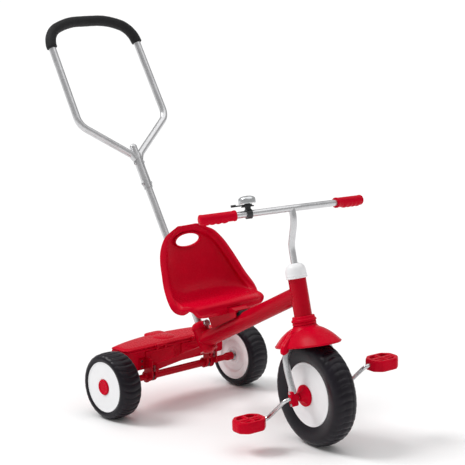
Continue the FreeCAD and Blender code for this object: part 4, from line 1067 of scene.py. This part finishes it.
# ---- fasteners -------------------------------------------
HALF_SLEEVE_R = 11.9
HANDLE_BOLT_S = (549.0, 608.0)  # along the pole, from its foot
nuts = []
for s in HANDLE_BOLT_S:
    nuts.append(screw_head((0, -HALF_SLEEVE_R, s), (0, -1, 0), 5.0, 3.4, 1.2))
    nuts.append(hex_head((0, HALF_SLEEVE_R, s), (0, 1, 0), 8.0, 3.8))
    nuts.append(rod((0, 14.0, s), (0, 16.0, s), 2.4, 20))
finish_piece(make("handle_fasteners", *join(nuts), POLE, STEEL, 35), "push_handle",
             ["handle_bolts"])
guard_heads = [screw_head((0, sign * (FORK_LEG_Y + 9.5), s), (0, sign, 0), 3.2, 2.0)
               for sign in (-1, 1) for s in (-14, 13.4)]
finish_piece(make("guard_screw_heads", *join(guard_heads), STEERED, STEEL, 50), "steerer",
             ["guard_screws"])
bolts = [hex_head((22.5, sign * 101, z), (1, 0, 0), 8, 4) for sign in (-1, 1) for z in (104.5, 113)]
finish_piece(make("stay_bolt_heads", *join(bolts), DATUM, DULL_SCREW, 35), "frame", ["stay_bolts"])

# ---- floor, light, camera --------------------------------
FLOOR_HALF = 90.0  # metres, far enough for the edge to stay out of sight
corners = [(x * FLOOR_HALF, y * FLOOR_HALF, 0) for x, y in ((-1, -1), (1, -1), (1, 1), (-1, 1))]
ground_mesh = bpy.data.meshes.new("ground")
ground_mesh.from_pydata(corners, [], [(0, 1, 2, 3)])
ground_mesh.materials.append(GROUND)
ground = new_object("ground", ground_mesh)

world = bpy.data.worlds.new("studio")
bpy.context.scene.world = world
world.use_nodes = True
put(world.node_tree.nodes["Background"], {"Color": (1, 1, 1, 1), "Strength": 0.45})


def towards(azimuth, elevation):
    """Unit vector from the origin towards a bearing and a height in radians."""
    level = math.cos(elevation)
    return Vector((math.cos(azimuth) * level, math.sin(azimuth) * level, math.sin(elevation)))


def sun(name, azimuth, elevation, spread, strength):
    """Distant soft light from a bearing in degrees, so that the whole floor is lit alike."""
    lamp = bpy.data.lights.new(name, "SUN")
    lamp.energy = strength
    lamp.angle = math.radians(spread)
    holder = new_object(name, lamp)
    beam = -towards(math.radians(azimuth), math.radians(elevation))
    holder.rotation_euler = beam.to_track_quat("-Z", "Y").to_euler()


sun("key", -140, 50, 24, 1.8)
sun("overhead", 60, 75, 70, 1.0)

CAMERA_AT = (2.8559, -2.5263, 1.1914)
CAMERA_AZIMUTH = math.radians(-42.34)
CAMERA_ELEVATION = math.radians(10.86)
CAMERA_ROLL = math.radians(-0.43)
SENSOR_WIDTH, LENS = 36.0, 120.87  # millimetres
backwards = towards(CAMERA_AZIMUTH, CAMERA_ELEVATION)
level_right = UP.cross(backwards).normalized()
level_up = backwards.cross(level_right)
camera_data = bpy.data.cameras.new("photo_view")
camera_data.sensor_width = SENSOR_WIDTH
camera_data.lens = LENS
camera = new_object("photo_view", camera_data)
turn = Matrix((level_right, level_up, backwards)).transposed() @ Matrix.Rotation(CAMERA_ROLL, 3, "Z")
camera.matrix_world = Matrix.Translation(CAMERA_AT) @ turn.to_4x4()
bpy.context.scene.camera = camera
bpy.context.scene.view_settings.view_transform = "Standard"
